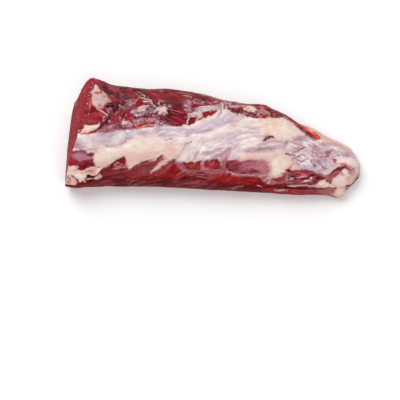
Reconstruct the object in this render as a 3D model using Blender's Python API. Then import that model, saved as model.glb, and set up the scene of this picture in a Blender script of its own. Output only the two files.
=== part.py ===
"""Half of a yak loin: one heavy muscle with its fat and silverskin left on.

It lies on its flat sole with the silverskin side up. One end is cut square across the grain,
with a face that leans outwards at its foot, and the other end tapers to a thin fatty tail.
+X runs from the cut end to the tail, +Y to the steep chine side, +Z up, in metres.
"""

import math

import bmesh
import bpy
import numpy as np

# Driving dimensions of the whole piece, in metres.
LENGTH = 0.299
GREATEST_WIDTH = 0.105
GREATEST_HEIGHT = 0.056

# The cut end. The face leans more at the steep side than at the round one.
CUT_SKEW = 0.0065  # how much further the cut runs in at the steep side, in plan
CUT_LEAN_ROUND_SIDE = math.radians(4.0)
CUT_LEAN_STEEP_SIDE = math.radians(22.5)
CUT_LEAN_RISE = 0.8  # how soon the lean grows across the width
CUT_REACH = 0.085  # length over which the skew fades out along the muscle
CUT_SWELL = 0.0030  # the cut face bulges by this much at its middle
TAIL_SWELL = 0.0015  # and so does the tail's end

# How finely the surface is divided.
AROUND = 58
ALONG = 82
CUT_FACE_RINGS = 6
TAIL_CAP_RINGS = 2
SPLINE_STEPS = 12
CLOSER_AT_ENDS = 0.035  # how far the divisions crowd towards both ends
CLOSER_AT_TAIL = 0.020  # and how much more towards the tail

# The plan and the height, station by station, as shares of the driving dimensions:
# (along, near edge, far edge, height). Edges are measured from the middle line.
STATIONS = (
    (0.000, -0.478, 0.562, 0.98),
    (0.110, -0.480, 0.550, 1.00),
    (0.250, -0.482, 0.530, 1.00),
    (0.380, -0.492, 0.505, 0.98),
    (0.500, -0.512, 0.448, 0.94),
    (0.600, -0.526, 0.372, 0.88),
    (0.680, -0.540, 0.325, 0.82),
    (0.740, -0.550, 0.268, 0.75),
    (0.800, -0.556, 0.175, 0.66),
    (0.860, -0.552, 0.115, 0.55),
    (0.910, -0.530, 0.045, 0.45),
    (0.955, -0.475, -0.010, 0.36),
    (0.985, -0.400, -0.075, 0.28),
    (1.000, -0.335, -0.165, 0.18),
)

# The section's outline, as (share of the width from the near edge, share of the height).
SECTION_AT_CUT = (
    (0.24, 0.00),  # sole, near
    (0.055, 0.07),  # foot, near
    (-0.01, 0.36),  # round side
    (0.12, 0.74),  # shoulder, near
    (0.38, 0.99),  # crown
    (0.68, 1.02),  # back
    (0.95, 0.92),  # shoulder, far
    (0.97, 0.52),  # steep side
    (0.90, 0.09),  # foot, far
    (0.66, 0.00),  # sole, far
)
SECTION_IN_MIDDLE = (
    (0.24, 0.00),
    (0.060, 0.07),
    (0.00, 0.35),
    (0.13, 0.73),
    (0.40, 1.00),
    (0.66, 0.97),
    (0.90, 0.72),
    (1.00, 0.38),
    (0.93, 0.07),
    (0.66, 0.00),
)
SECTION_AT_TAIL = (
    (0.26, 0.00),
    (0.075, 0.09),
    (0.00, 0.40),
    (0.14, 0.80),
    (0.42, 1.00),
    (0.66, 0.90),
    (0.87, 0.62),
    (1.00, 0.28),
    (0.94, 0.04),
    (0.64, 0.00),
)
CUT_SECTION_ENDS = 0.16  # share of the length where the middle section takes over
TAIL_SECTION_STARTS = 0.62  # and where it starts to give way to the tail's

# Local form: (name, x, y, height, half length, half width, turn in degrees), in metres.
# A positive height swells outwards, and a negative one is a hollow.
FORMS = (
    ("fat ridge, cut end", -0.088, -0.003, 0.0040, 0.026, 0.010, 12),
    ("fat ridge, middle", -0.045, 0.004, 0.0035, 0.030, 0.011, 6),
    ("fat pad towards the tail", 0.068, 0.018, 0.0030, 0.026, 0.014, -12),
    ("silverskin band", -0.060, 0.026, 0.0015, 0.070, 0.009, 6),
    ("torn hollow by the cut", -0.103, 0.042, -0.0045, 0.010, 0.006, -20),
    ("torn hollow, middle", -0.036, 0.037, -0.0045, 0.016, 0.009, 8),
    ("torn hollow, far", 0.000, 0.036, -0.0030, 0.012, 0.006, 12),
    ("lean window, middle", 0.030, -0.021, -0.0025, 0.022, 0.007, 0),
    ("lean window, cut end", -0.100, -0.022, -0.0025, 0.020, 0.005, 18),
    ("hollow before the tail", 0.085, -0.030, -0.0022, 0.018, 0.006, 10),
    ("edge roll, far", 0.053, 0.034, 0.0030, 0.006, 0.006, 0),
    ("fat flap at the near corner", -0.134, -0.050, 0.0055, 0.011, 0.009, -10),
    ("tail lump", 0.126, -0.040, 0.0035, 0.010, 0.007, 5),
    ("tail end lump", 0.142, -0.032, 0.0030, 0.006, 0.008, 0),
)
# The fat knob that hangs from the tail's near side.
KNOB_AT = (0.1280, -0.0545, 0.0070)
KNOB_RADIUS = 0.0085
KNOB_HEIGHT = 0.0070
KNOB_PULL = (0.1, -1.0, -0.15)  # the direction that it is drawn out in

# The shallow waves of a soft muscle: (length along x, length around, height).
WAVES = (
    (0.083, 0.090, 0.0008),
    (0.041, 0.053, 0.0005),
    (0.023, 0.031, 0.0003),
)

WAVE_AXIS_Z = 0.020  # the waves run around a line at this height
WAVE_RADIUS = 0.050  # and are measured on this radius
WAVES_START_Z = 0.003
WAVES_FULL_Z = 0.018
SEED = 7

SOLE_DEPTH = 0.0006  # points lower than this lie flat on the sole

LEAN_COLOUR = (0.305, 0.035, 0.050, 1.0)
LEAN_ROUGHNESS = 0.38


def clear_scene():
    for obj in list(bpy.data.objects):
        bpy.data.objects.remove(obj, do_unlink=True)


def eased(value, low, high):
    """0 below low, 1 above high, and a smooth step between."""
    t = np.clip((value - low) / (high - low), 0.0, 1.0)
    return t * t * (3.0 - 2.0 * t)


def station_values(share):
    """Near edge, far edge and height at a share of the length, in metres."""
    table = np.array(STATIONS)
    near, far = (
        smooth_row(share, table[:, 0], table[:, column]) * GREATEST_WIDTH for column in (1, 2)
    )
    height = smooth_row(share, table[:, 0], table[:, 3]) * GREATEST_HEIGHT
    return near, far, height


def smooth_row(at, xs, ys):
    """A cubic through the stations whose slope never overshoots them."""
    slopes = np.diff(ys) / np.diff(xs)
    tangents = np.concatenate([[slopes[0]], (slopes[1:] + slopes[:-1]) / 2, [slopes[-1]]])
    turning = np.concatenate([[False], slopes[1:] * slopes[:-1] <= 0, [False]])
    tangents[turning] = 0.0
    k = int(np.clip(np.searchsorted(xs, at, side="right") - 1, 0, len(xs) - 2))
    width = xs[k + 1] - xs[k]
    t = (at - xs[k]) / width
    return (
        ys[k] * (2 * t**3 - 3 * t**2 + 1)
        + tangents[k] * width * (t**3 - 2 * t**2 + t)
        + ys[k + 1] * (3 * t**2 - 2 * t**3)
        + tangents[k + 1] * width * (t**3 - t**2)
    )


def section_shares(share):
    """The ten outline points at a share of the length."""
    cut, middle, tail = (
        np.array(s) for s in (SECTION_AT_CUT, SECTION_IN_MIDDLE, SECTION_AT_TAIL)
    )
    to_middle = eased(share, 0.0, CUT_SECTION_ENDS)
    to_tail = eased(share, TAIL_SECTION_STARTS, 1.0)
    points = cut + (middle - cut) * to_middle
    return points + (tail - points) * to_tail


def closed_spline(points):
    """A closed curve through the points, divided evenly into AROUND points."""
    count = len(points)
    curve = []
    for k in range(count):
        before, start, end, after = (points[(k + i - 1) % count] for i in range(4))
        for step in range(SPLINE_STEPS):
            t = step / SPLINE_STEPS
            curve.append(
                0.5
                * (
                    2 * start
                    + (end - before) * t
                    + (2 * before - 5 * start + 4 * end - after) * t**2
                    + (3 * start - before - 3 * end + after) * t**3
                )
            )
    curve = np.array(curve + [curve[0]])
    run = np.concatenate([[0.0], np.cumsum(np.linalg.norm(np.diff(curve, axis=0), axis=1))])
    even = np.arange(AROUND) / AROUND * run[-1]
    return np.stack([np.interp(even, run, curve[:, i]) for i in range(2)], axis=1)


def section_ring(share):
    """The section's outline at a share of the length, as (y, z) in metres."""
    near, far, height = station_values(share)
    points = section_shares(share) * (far - near, height) + (near, 0.0)
    return closed_spline(points)


def cut_offset(y, z):
    """How far the cut face lies from its foot's near corner, along X."""
    across = np.clip(y / GREATEST_WIDTH + 0.5, 0.0, 1.0)
    rise = np.sin(across * math.pi / 2) ** CUT_LEAN_RISE
    lean = CUT_LEAN_ROUND_SIDE + (CUT_LEAN_STEEP_SIDE - CUT_LEAN_ROUND_SIDE) * rise
    return CUT_SKEW * across**3 + z * np.tan(lean)


def placed(share, ring):
    """A ring of (y, z) set along X, skewed to the cut near that end."""
    fade = 1.0 - eased(share * LENGTH, 0.0, CUT_REACH)
    x = -LENGTH / 2 + share * LENGTH + fade * cut_offset(ring[:, 0], ring[:, 1])
    return np.column_stack([x, ring])


def along_shares():
    """Shares of the length, closer together at the cut and towards the tail's tip."""
    t = np.arange(ALONG) / (ALONG - 1)
    return t - CLOSER_AT_ENDS * np.sin(2 * math.pi * t) + CLOSER_AT_TAIL * np.sin(math.pi * t)


def cap_rings(ring, count, swell):
    """Rings that close an end towards its middle, each as AROUND points, and the middle."""
    middle = ring.mean(axis=0)
    rings = []
    for k in range(1, count):
        share = 1.0 - k / count
        inner = middle + (ring - middle) * share
        inner[:, 0] += swell * (1.0 - share**2)
        rings.append(inner)
    return rings, middle + (swell, 0.0, 0.0)


def swell_forms(points, normals):
    """Swells and hollows of the upper side, the knob and the shallow waves."""
    upward = eased(normals[:, 2], -0.25, 0.35)
    moved = np.zeros(len(points))
    for _, x, y, height, half_length, half_width, turn in FORMS:
        c, s = math.cos(math.radians(turn)), math.sin(math.radians(turn))
        dx, dy = points[:, 0] - x, points[:, 1] - y
        a = (dx * c + dy * s) / half_length
        b = (dy * c - dx * s) / half_width
        moved += height * np.exp(-(a**2) - b**2) * upward
    phases = np.random.default_rng(SEED).uniform(0, 2 * math.pi, (len(WAVES), 2))
    free = eased(points[:, 2], WAVES_START_Z, WAVES_FULL_Z)
    around = np.arctan2(points[:, 2] - WAVE_AXIS_Z, points[:, 1]) * WAVE_RADIUS
    for (long, short, height), (p, q) in zip(WAVES, phases):
        waves = np.sin(points[:, 0] / long * 2 * math.pi + p)
        moved += height * waves * np.cos(around / short * 2 * math.pi + q) * free
    return points + normals * moved[:, None]


def knob_push(points, normals):
    """Pulls the tail's near side out into a round knob of fat."""
    gap = np.linalg.norm(points - np.array(KNOB_AT), axis=1)
    dome = np.sqrt(np.clip(1.0 - (gap / KNOB_RADIUS) ** 2, 0.0, 1.0))
    push = KNOB_HEIGHT * dome * eased(-normals[:, 1], -0.2, 0.3)
    return points + np.array(KNOB_PULL) * push[:, None]


def mesh_rings(bm, rings):
    """Faces between neighbouring rings of bmesh vertices."""
    for first, second in zip(rings, rings[1:]):
        for i in range(AROUND):
            j = (i + 1) % AROUND
            bm.faces.new((first[i], first[j], second[j], second[i]))


def close_ring(bm, ring, middle, reverse):
    """A fan from the innermost ring to the middle point."""
    for i in range(AROUND):
        j = (i + 1) % AROUND
        corners = (middle, ring[j], ring[i]) if reverse else (middle, ring[i], ring[j])
        bm.faces.new(corners)


def loin_mesh():
    bm = bmesh.new()
    skin = [placed(share, section_ring(share)) for share in along_shares()]
    at_cut, cut_middle = cap_rings(skin[0], CUT_FACE_RINGS, -CUT_SWELL)
    at_tail, tail_middle = cap_rings(skin[-1], TAIL_CAP_RINGS, TAIL_SWELL)
    points = at_cut[::-1] + skin + at_tail
    rings = [[bm.verts.new(tuple(p)) for p in ring] for ring in points]
    mesh_rings(bm, rings)
    close_ring(bm, rings[0], bm.verts.new(tuple(cut_middle)), reverse=True)
    close_ring(bm, rings[-1], bm.verts.new(tuple(tail_middle)), reverse=False)
    bmesh.ops.recalc_face_normals(bm, faces=bm.faces)
    bm.normal_update()
    cut_verts = {v for ring in rings[: CUT_FACE_RINGS - 1] for v in ring}
    shape_surface(bm, cut_verts)
    bmesh.ops.triangulate(bm, faces=bm.faces)
    mesh = bpy.data.meshes.new("tenderloin")
    bm.to_mesh(mesh)
    bm.free()
    return mesh


def shape_surface(bm, cut_verts):
    """Adds the local form to the skin, leaves the cut face smooth and flattens the sole."""
    points = np.array([v.co for v in bm.verts])
    normals = np.array([v.normal for v in bm.verts])
    keep = np.array([v in cut_verts for v in bm.verts])
    shaped = knob_push(swell_forms(points, normals), normals)
    shaped[keep] = points[keep]
    shaped[:, 2] = np.maximum(shaped[:, 2], 0.0)
    shaped[points[:, 2] < SOLE_DEPTH, 2] = 0.0
    shaped[:, :2] -= (shaped[:, :2].max(axis=0) + shaped[:, :2].min(axis=0)) / 2
    for vert, place in zip(bm.verts, shaped):
        vert.co = place


def lean_material():
    material = bpy.data.materials.new("raw lean meat")
    material.use_nodes = True
    shader = material.node_tree.nodes["Principled BSDF"]
    shader.inputs["Base Color"].default_value = LEAN_COLOUR
    shader.inputs["Roughness"].default_value = LEAN_ROUGHNESS
    shader.inputs["Metallic"].default_value = 0.0
    return material


def make_tenderloin():
    mesh = loin_mesh()
    mesh.materials.append(lean_material())
    mesh.shade_smooth()
    obj = bpy.data.objects.new("tenderloin", mesh)
    bpy.context.scene.collection.objects.link(obj)
    return obj


def main():
    clear_scene()
    make_tenderloin()


if __name__ == "__main__":
    main()
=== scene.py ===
"""The finish of a raw yak tenderloin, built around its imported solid.

One fine grid is laid on the solid and painted and raised patch by patch. The muscle, the sheets
of silverskin on it and the fat on those are cut from that grid, each a little above the one
below. Threads, shreds and the vein are ribbons of their own.
"""

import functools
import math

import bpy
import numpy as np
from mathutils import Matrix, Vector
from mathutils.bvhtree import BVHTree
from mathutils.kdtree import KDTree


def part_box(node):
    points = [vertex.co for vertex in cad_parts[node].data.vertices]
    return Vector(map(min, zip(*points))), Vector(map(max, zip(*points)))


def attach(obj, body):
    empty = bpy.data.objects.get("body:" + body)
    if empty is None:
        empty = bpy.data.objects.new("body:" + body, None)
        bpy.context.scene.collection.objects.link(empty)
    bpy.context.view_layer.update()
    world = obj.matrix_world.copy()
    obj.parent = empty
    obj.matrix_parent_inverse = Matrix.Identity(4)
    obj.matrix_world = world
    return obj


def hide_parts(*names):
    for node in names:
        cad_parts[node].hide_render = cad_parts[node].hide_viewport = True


bl_info = {
    "name": "Yak Tenderloin",
    "version": (1, 0, 0),
    "blender": (4, 5, 0),
    "location": "3D View > Sidebar > Tenderloin",
    "description": "Builds a raw yak tenderloin with its fat and silverskin",
    "category": "Add Mesh",
}

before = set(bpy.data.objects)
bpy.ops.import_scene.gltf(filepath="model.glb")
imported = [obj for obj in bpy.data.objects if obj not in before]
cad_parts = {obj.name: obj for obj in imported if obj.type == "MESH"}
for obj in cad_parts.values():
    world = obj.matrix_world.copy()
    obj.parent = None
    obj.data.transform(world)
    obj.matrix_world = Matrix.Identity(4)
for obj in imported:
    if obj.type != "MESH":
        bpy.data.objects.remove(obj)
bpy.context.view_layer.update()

NODE = "tenderloin"
BODY = "root"

MM = 0.001


# ---------------------------------------------------------------------------------------------
# The picture: the view that the patches are drawn in. One unit is one pixel of a frame of 400
# by 400, and one millimetre at the middle of the piece.

PICTURE_SIZE = 400
PICTURE_MIDDLE = 200.0
VIEW_ELEVATION = math.radians(70.0)
VIEW_DISTANCE = 1.4
VIEW_TARGET = (-0.0130, -0.0647, 0.0204)
SENSOR_WIDTH = 36.0
PICTURE_WIDTH = 0.400  # what the frame spans at the target
LENS = SENSOR_WIDTH * VIEW_DISTANCE / PICTURE_WIDTH

VIEW_FORWARD = np.array((0.0, math.cos(VIEW_ELEVATION), -math.sin(VIEW_ELEVATION)))
VIEW_UP = np.array((0.0, math.sin(VIEW_ELEVATION), math.cos(VIEW_ELEVATION)))
VIEW_RIGHT = np.array((1.0, 0.0, 0.0))
VIEW_EYE = np.array(VIEW_TARGET) - VIEW_FORWARD * VIEW_DISTANCE
VIEW_FOCAL = PICTURE_SIZE * LENS / SENSOR_WIDTH


def picture_places(points):
    """Where points show in the picture, as (u, v), v down."""
    rays = points - VIEW_EYE
    depth = rays @ VIEW_FORWARD
    u = PICTURE_MIDDLE + VIEW_FOCAL * (rays @ VIEW_RIGHT) / depth
    v = PICTURE_MIDDLE - VIEW_FOCAL * (rays @ VIEW_UP) / depth
    return np.stack([u, v], axis=-1)


# ---------------------------------------------------------------------------------------------
# Small tools for arrays


def eased(value, low, high):
    """0 below low, 1 above high, and a smooth step between."""
    t = np.clip((value - low) / (high - low), 0.0, 1.0)
    return t * t * (3.0 - 2.0 * t)


def mixed(first, second, share):
    """A share of the way from first to second."""
    return first + (second - first) * share


NOISE_CELLS = 32
NOISE_START = 100.0  # keeps the numbers of the cells above 0
NOISE_SHIFT = 0.37  # how far each seed's cells lie from those of the seed before
RIDGE_POWER = 0.7  # thins the crests of ridged noise


def noise(points, size, seed):
    """Smooth noise from -1 to 1 whose lumps are about size metres across."""
    table = np.random.default_rng(seed).uniform(-1, 1, (NOISE_CELLS,) * 3)
    cells = points / size + NOISE_START + seed * NOISE_SHIFT
    low = np.floor(cells).astype(int)
    t = cells - low
    t = t * t * t * (t * (t * 6 - 15) + 10)
    low %= NOISE_CELLS
    high = (low + 1) % NOISE_CELLS
    total = np.zeros(points.shape[:-1])
    for corner in np.ndindex(2, 2, 2):
        weight = 1.0
        index = []
        for axis, upper in enumerate(corner):
            weight = weight * (t[..., axis] if upper else 1 - t[..., axis])
            index.append((high if upper else low)[..., axis])
        total += weight * table[tuple(index)]
    return total


def ridged(points, size, seed):
    """Noise whose thin crests reach 1 and whose hollows reach -1."""
    return 1 - 2 * np.abs(noise(points, size, seed)) ** RIDGE_POWER


def layered(points, layers, kind=noise):
    """Layers of noise added up. Each is (height, size of its lumps in metres, seed)."""
    return sum(height * kind(points, size, seed) for height, size, seed in layers)


def blurred(values, along, around):
    """Gaussian blur of a grid of stations by columns. The columns close on themselves."""
    for axis, spread in ((0, along), (1, around)):
        reach = int(math.ceil(spread * 3))
        steps = np.arange(-reach, reach + 1)
        weights = np.exp(-0.5 * (steps / spread) ** 2)
        weights /= weights.sum()
        if axis:
            padded = np.concatenate([values[:, -reach:], values, values[:, :reach]], axis=1)
        else:
            before = 2 * values[:1] - values[reach:0:-1]
            after = 2 * values[-1:] - values[-2 : -reach - 2 : -1]
            padded = np.concatenate([before, values, after])
        size = values.shape[axis]
        values = sum(w * np.take(padded, range(k, k + size), axis) for k, w in enumerate(weights))
    return values


def standard(values):
    """The same values with a mean of 0 and a spread of 1."""
    return (values - values.mean()) / values.std()


# ---------------------------------------------------------------------------------------------
# Curves in the plane of the picture

CURVE_STEPS = 5


def smooth_curve(points, closed):
    """A Catmull-Rom curve through the points."""
    points = np.array(points, dtype=float)
    count = len(points)
    if not closed:
        points = np.vstack([2 * points[0] - points[1], points, 2 * points[-1] - points[-2]])
    spans = count if closed else count - 1
    curve = []
    for k in range(spans):
        a, b, c, d = (points[(k + i - closed) % len(points)] for i in range(4))
        for step in range(CURVE_STEPS):
            t = step / CURVE_STEPS
            square = (2 * a - 5 * b + 4 * c - d) * t**2
            cube = (3 * b - a - 3 * c + d) * t**3
            curve.append(0.5 * (2 * b + (c - a) * t + square + cube))
    if not closed:
        curve.append(points[-2])
    return np.array(curve)


def distance_to_line(places, line):
    """Distance from each place to a line of points, and the share of the line at the foot."""
    nearest = np.full(len(places), np.inf)
    share = np.zeros(len(places))
    lengths = np.linalg.norm(np.diff(line, axis=0), axis=1)
    total = max(lengths.sum(), 1e-9)
    run = 0.0
    x, y = places.T
    for start, end, length in zip(line, line[1:], lengths):
        step = end - start
        dx, dy = x - start[0], y - start[1]
        t = np.clip((dx * step[0] + dy * step[1]) / max(length**2, 1e-9), 0.0, 1.0)
        gap = (dx - t * step[0]) ** 2 + (dy - t * step[1]) ** 2
        closer = gap < nearest
        nearest[closer] = gap[closer]
        share[closer] = (run + t[closer] * length) / total
        run += length
    return np.sqrt(nearest), share


def inside(places, outline):
    """Whether each place lies inside a closed outline."""
    crossed = np.zeros(len(places), dtype=bool)
    for start, end in zip(outline, np.roll(outline, -1, axis=0)):
        spans = (start[1] > places[:, 1]) != (end[1] > places[:, 1])
        rise = end[1] - start[1]
        rise = rise if abs(rise) > 1e-9 else 1e-9
        at = start[0] + (places[:, 1] - start[1]) / rise * (end[0] - start[0])
        crossed ^= spans & (places[:, 0] < at)
    return crossed


def depth_in(places, points):
    """How far each place lies inside a smooth closed outline; negative outside."""
    outline = smooth_curve(points, closed=True)
    gap, _ = distance_to_line(places, np.vstack([outline, outline[:1]]))
    return np.where(inside(places, outline), gap, -gap)


# ---------------------------------------------------------------------------------------------
# The skin of the muscle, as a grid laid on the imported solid

STATIONS = 687
COLUMNS = 460
TAIL_RINGS = 14
MUSCLE_STEP = 2  # the muscle's own mesh takes every second station and column
COARSE_STATIONS = 130
COARSE_ANGLES = 168
RAY_START = 0.01  # rays at the cut end start this far off it
RAY_TRIES = 8
RAY_NUDGE = 1e-5
CUT_RAYS_ACROSS = 40
CUT_RAYS_UP = 24
CUT_FACING = 0.7  # the cut end's faces look away from the tail by at least this much
CUT_DEPTH = 0.060  # the cut end's lean lies within this much of the solid's end
CUT_MARGIN = 0.0008
TAIL_MARGIN = 0.0016
TAIL_TIP = 0.6  # the tail's last ring keeps this share of a step
CENTRES = 30  # stations at which the muscle's middle is found
CENTRE_REACH = 0.025  # from the points within this share of the length
CENTRE_HEIGHT = 0.45  # as a share of the height of the solid there
FIRST_REACH = 0.03  # a first guess of how far the surface is from the middle
AIM_ROUNDS = 3
DENSITY_STEPS = 400
SEEN_FROM = (0.08, 0.17)  # shares of the way around where the side that the picture sees begins
SEEN_TO = (0.72, 0.86)  # and where it ends
HIDDEN_DENSITY = 0.38  # how close the columns are on the hidden side, as a share
TAIL_DENSE_FROM = 0.88  # stations come closer together from this share of the length
RING_BLUR = (1.5, 2.0)  # along and around, in rings and angles of the coarse skin
SKIN_BLUR = (3.0, 3.0)  # the same, in stations and columns


def frame_tree():
    """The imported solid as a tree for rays, and its points."""
    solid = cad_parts[NODE]
    points = [solid.matrix_world @ v.co for v in solid.data.vertices]
    faces = [tuple(p.vertices) for p in solid.data.polygons]
    return BVHTree.FromPolygons(points, faces), np.array(points)


def cut_terms(y, z):
    """The terms of a quadratic in y and z."""
    return np.stack([np.ones_like(y), y, z, y * y, y * z, z * z], axis=-1)


def fit_cut(tree):
    """The leaning cut end as a quadratic surface x(y, z)."""
    low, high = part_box(NODE)
    seen = []
    for y in np.linspace(low[1], high[1], CUT_RAYS_ACROSS):
        for z in np.linspace(low[2], high[2], CUT_RAYS_UP):
            start = Vector((low[0] - RAY_START, y, z))
            place, normal, _, _ = tree.ray_cast(start, Vector((1, 0, 0)))
            if place is not None and normal.x < -CUT_FACING and place.x < low[0] + CUT_DEPTH:
                seen.append(place)
    seen = np.array(seen)
    terms, *_ = np.linalg.lstsq(cut_terms(seen[:, 1], seen[:, 2]), seen[:, 0], rcond=None)
    return terms


class Stations:
    """Surfaces across the muscle, from the cut end's lean to upright at the tail."""

    def __init__(self, tree, points):
        self.terms = fit_cut(tree)
        low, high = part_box(NODE)
        self.end = high[0] - TAIL_MARGIN
        shares = self.share_of(points)
        self.shares = np.linspace(0.0, 1.0, CENTRES)
        middles = []
        for share in self.shares:
            near = points[np.abs(shares - share) < CENTRE_REACH]
            across = (near[:, 1].min() + near[:, 1].max()) / 2
            middles.append((across, near[:, 2].max() * CENTRE_HEIGHT))
        self.middles = np.array(middles)

    def cut(self, y, z):
        """x of the cut end's surface at y and z, just inside the solid."""
        return cut_terms(np.asarray(y), np.asarray(z)) @ self.terms + CUT_MARGIN

    def share_of(self, points):
        """How far along each point lies: 0 at the cut end, 1 at the tail."""
        start = self.cut(points[:, 1], points[:, 2])
        return (points[:, 0] - start) / (self.end - start)

    def place(self, share, y, z):
        """x of one station's surface at y and z."""
        return mixed(self.cut(y, z), self.end, share)

    def middle(self, share):
        """y and z of the muscle's middle at a station."""
        return [np.interp(share, self.shares, self.middles[:, k]) for k in range(2)]


def struck(tree, start, aim):
    """Where a ray from inside meets the solid. One that slips between faces is sent again."""
    for k in range(RAY_TRIES):
        place, _, _, _ = tree.ray_cast(start, aim + Vector((k, -k, k)) * RAY_NUDGE)
        if place is not None:
            return place
    raise RuntimeError(f"no surface found from {tuple(start)}")


def coarse_ring(tree, stations, share):
    """One ring of the solid's surface, starting under the middle and going up the near side."""
    y0, z0 = stations.middle(share)
    start = Vector((float(stations.place(share, y0, z0)), y0, z0))
    ring = []
    reach = FIRST_REACH
    for k in range(COARSE_ANGLES):
        angle = -math.pi / 2 - 2 * math.pi * k / COARSE_ANGLES
        c, s = math.cos(angle), math.sin(angle)
        for _ in range(AIM_ROUNDS):
            y, z = y0 + reach * c, z0 + reach * s
            aim = Vector((float(stations.place(share, y, z)), y, z)) - start
            place = struck(tree, start, aim)
            reach = math.hypot(place.y - y0, place.z - z0)
        ring.append(place)
    return np.array(ring)


def density_places(weights, count):
    """Count places from 0 to 1, closer together where the weights are high."""
    run = np.concatenate([[0.0], np.cumsum((weights[1:] + weights[:-1]) / 2)])
    return np.interp(np.linspace(0, run[-1], count), run, np.linspace(0, 1, len(weights)))


def spread_around(ring):
    """The ring divided again, with more columns where the picture sees it."""
    closed = np.vstack([ring, ring[:1]])
    run = np.concatenate([[0.0], np.cumsum(np.linalg.norm(np.diff(closed, axis=0), axis=1))])
    share = np.linspace(0, 1, DENSITY_STEPS)
    seen = eased(share, *SEEN_FROM) * (1 - eased(share, *SEEN_TO))
    weights = mixed(HIDDEN_DENSITY, 1.0, seen)
    at = density_places(weights, COLUMNS + 1)[:-1] * run[-1]
    return np.stack([np.interp(at, run, closed[:, k]) for k in range(3)], axis=1)


def base_skin():
    """The smooth skin as a grid of places: stations from the cut end, columns around."""
    tree, points = frame_tree()
    stations = Stations(tree, points)
    coarse_shares = np.linspace(0.0, 1.0, COARSE_STATIONS)
    rings = np.array([coarse_ring(tree, stations, share) for share in coarse_shares])
    rings = blurred(rings, *RING_BLUR)
    rings = np.array([spread_around(ring) for ring in rings])
    share = np.linspace(0, 1, DENSITY_STEPS)
    shares = density_places(1 + eased(share, TAIL_DENSE_FROM, 1.0), STATIONS)
    at = shares * (COARSE_STATIONS - 1)
    low = np.clip(at.astype(int), 0, COARSE_STATIONS - 2)
    skin = mixed(rings[low], rings[low + 1], (at - low)[:, None, None])
    skin = np.concatenate([skin, tail_rings(skin[-1])])
    smooth = blurred(skin, *SKIN_BLUR)
    smooth[0] = skin[0]
    return smooth


def tail_rings(last):
    """Rings that round off the tail's end."""
    middle = last.mean(axis=0)
    rings = []
    for k in range(1, TAIL_RINGS + 1):
        share = 1.0 - k / (TAIL_RINGS + TAIL_TIP)
        ring = middle + (last - middle) * share
        ring[:, 0] += TAIL_MARGIN * math.sqrt(1.0 - share**2)
        rings.append(ring)
    return np.array(rings)


def grid_normals(grid):
    """The outward direction at each point of a grid."""
    along = np.gradient(grid, axis=0)
    around = np.roll(grid, -1, axis=1) - np.roll(grid, 1, axis=1)
    normals = np.cross(along, around)
    normals /= np.maximum(np.linalg.norm(normals, axis=-1, keepdims=True), 1e-12)
    return normals


def run_lengths(grid):
    """Millimetres along for each grid point, and the size of each cell along and around."""
    along = np.linalg.norm(np.diff(grid, axis=0, prepend=grid[:1]), axis=-1)
    around = np.linalg.norm(np.diff(grid, axis=1, prepend=grid[:, -1:]), axis=-1)
    return np.cumsum(along, axis=0) / MM, along / MM, around / MM


# ---------------------------------------------------------------------------------------------
# What is painted and raised on the skin, in the order that it lies. All places are (u, v) in
# the picture, and all lengths are millimetres.

# What each tissue looks like, by the name that the patches use: red, green, blue of 255
PALETTE = {
    "dark_lean": (80, 8, 14), "grey_lean": (98, 34, 42), "brown_lean": (134, 22, 26),
    "lean": (142, 22, 32), "cherry_lean": (152, 28, 42), "bright_lean": (176, 24, 28),
    "rust_lean": (150, 30, 24), "plum_lean": (108, 32, 44), "purple_lean": (168, 88, 106),
    "magenta_lean": (148, 10, 40), "mauve": (168, 110, 128), "rose": (192, 124, 132),
    # The near black one is painted shade, laid in slits, gaps, clefts and creases and under threads, where
    # light doesn't reach
    "haze": (166, 74, 82), "hollow": (108, 6, 18), "black_blood": (44, 6, 10),
    "slate": (130, 104, 110), "umber": (140, 74, 62), "blood": (206, 22, 22),
    "orange_blood": (238, 88, 62), "coral": (242, 150, 126), "silver": (226, 203, 204),
    "blue_silver": (206, 191, 206), "grey_silver": (188, 162, 168), "pearl": (240, 218, 216),
    "white": (248, 237, 235), "violet": (190, 160, 176), "lavender": (206, 182, 196),
    "cream": (237, 213, 202), "warm_cream": (246, 217, 199), "ivory": (243, 223, 211),
    "pink_fat": (230, 186, 177), "peach": (232, 177, 162), "tan_fat": (226, 189, 172),
    "grey_fat": (204, 181, 173),
}

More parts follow.
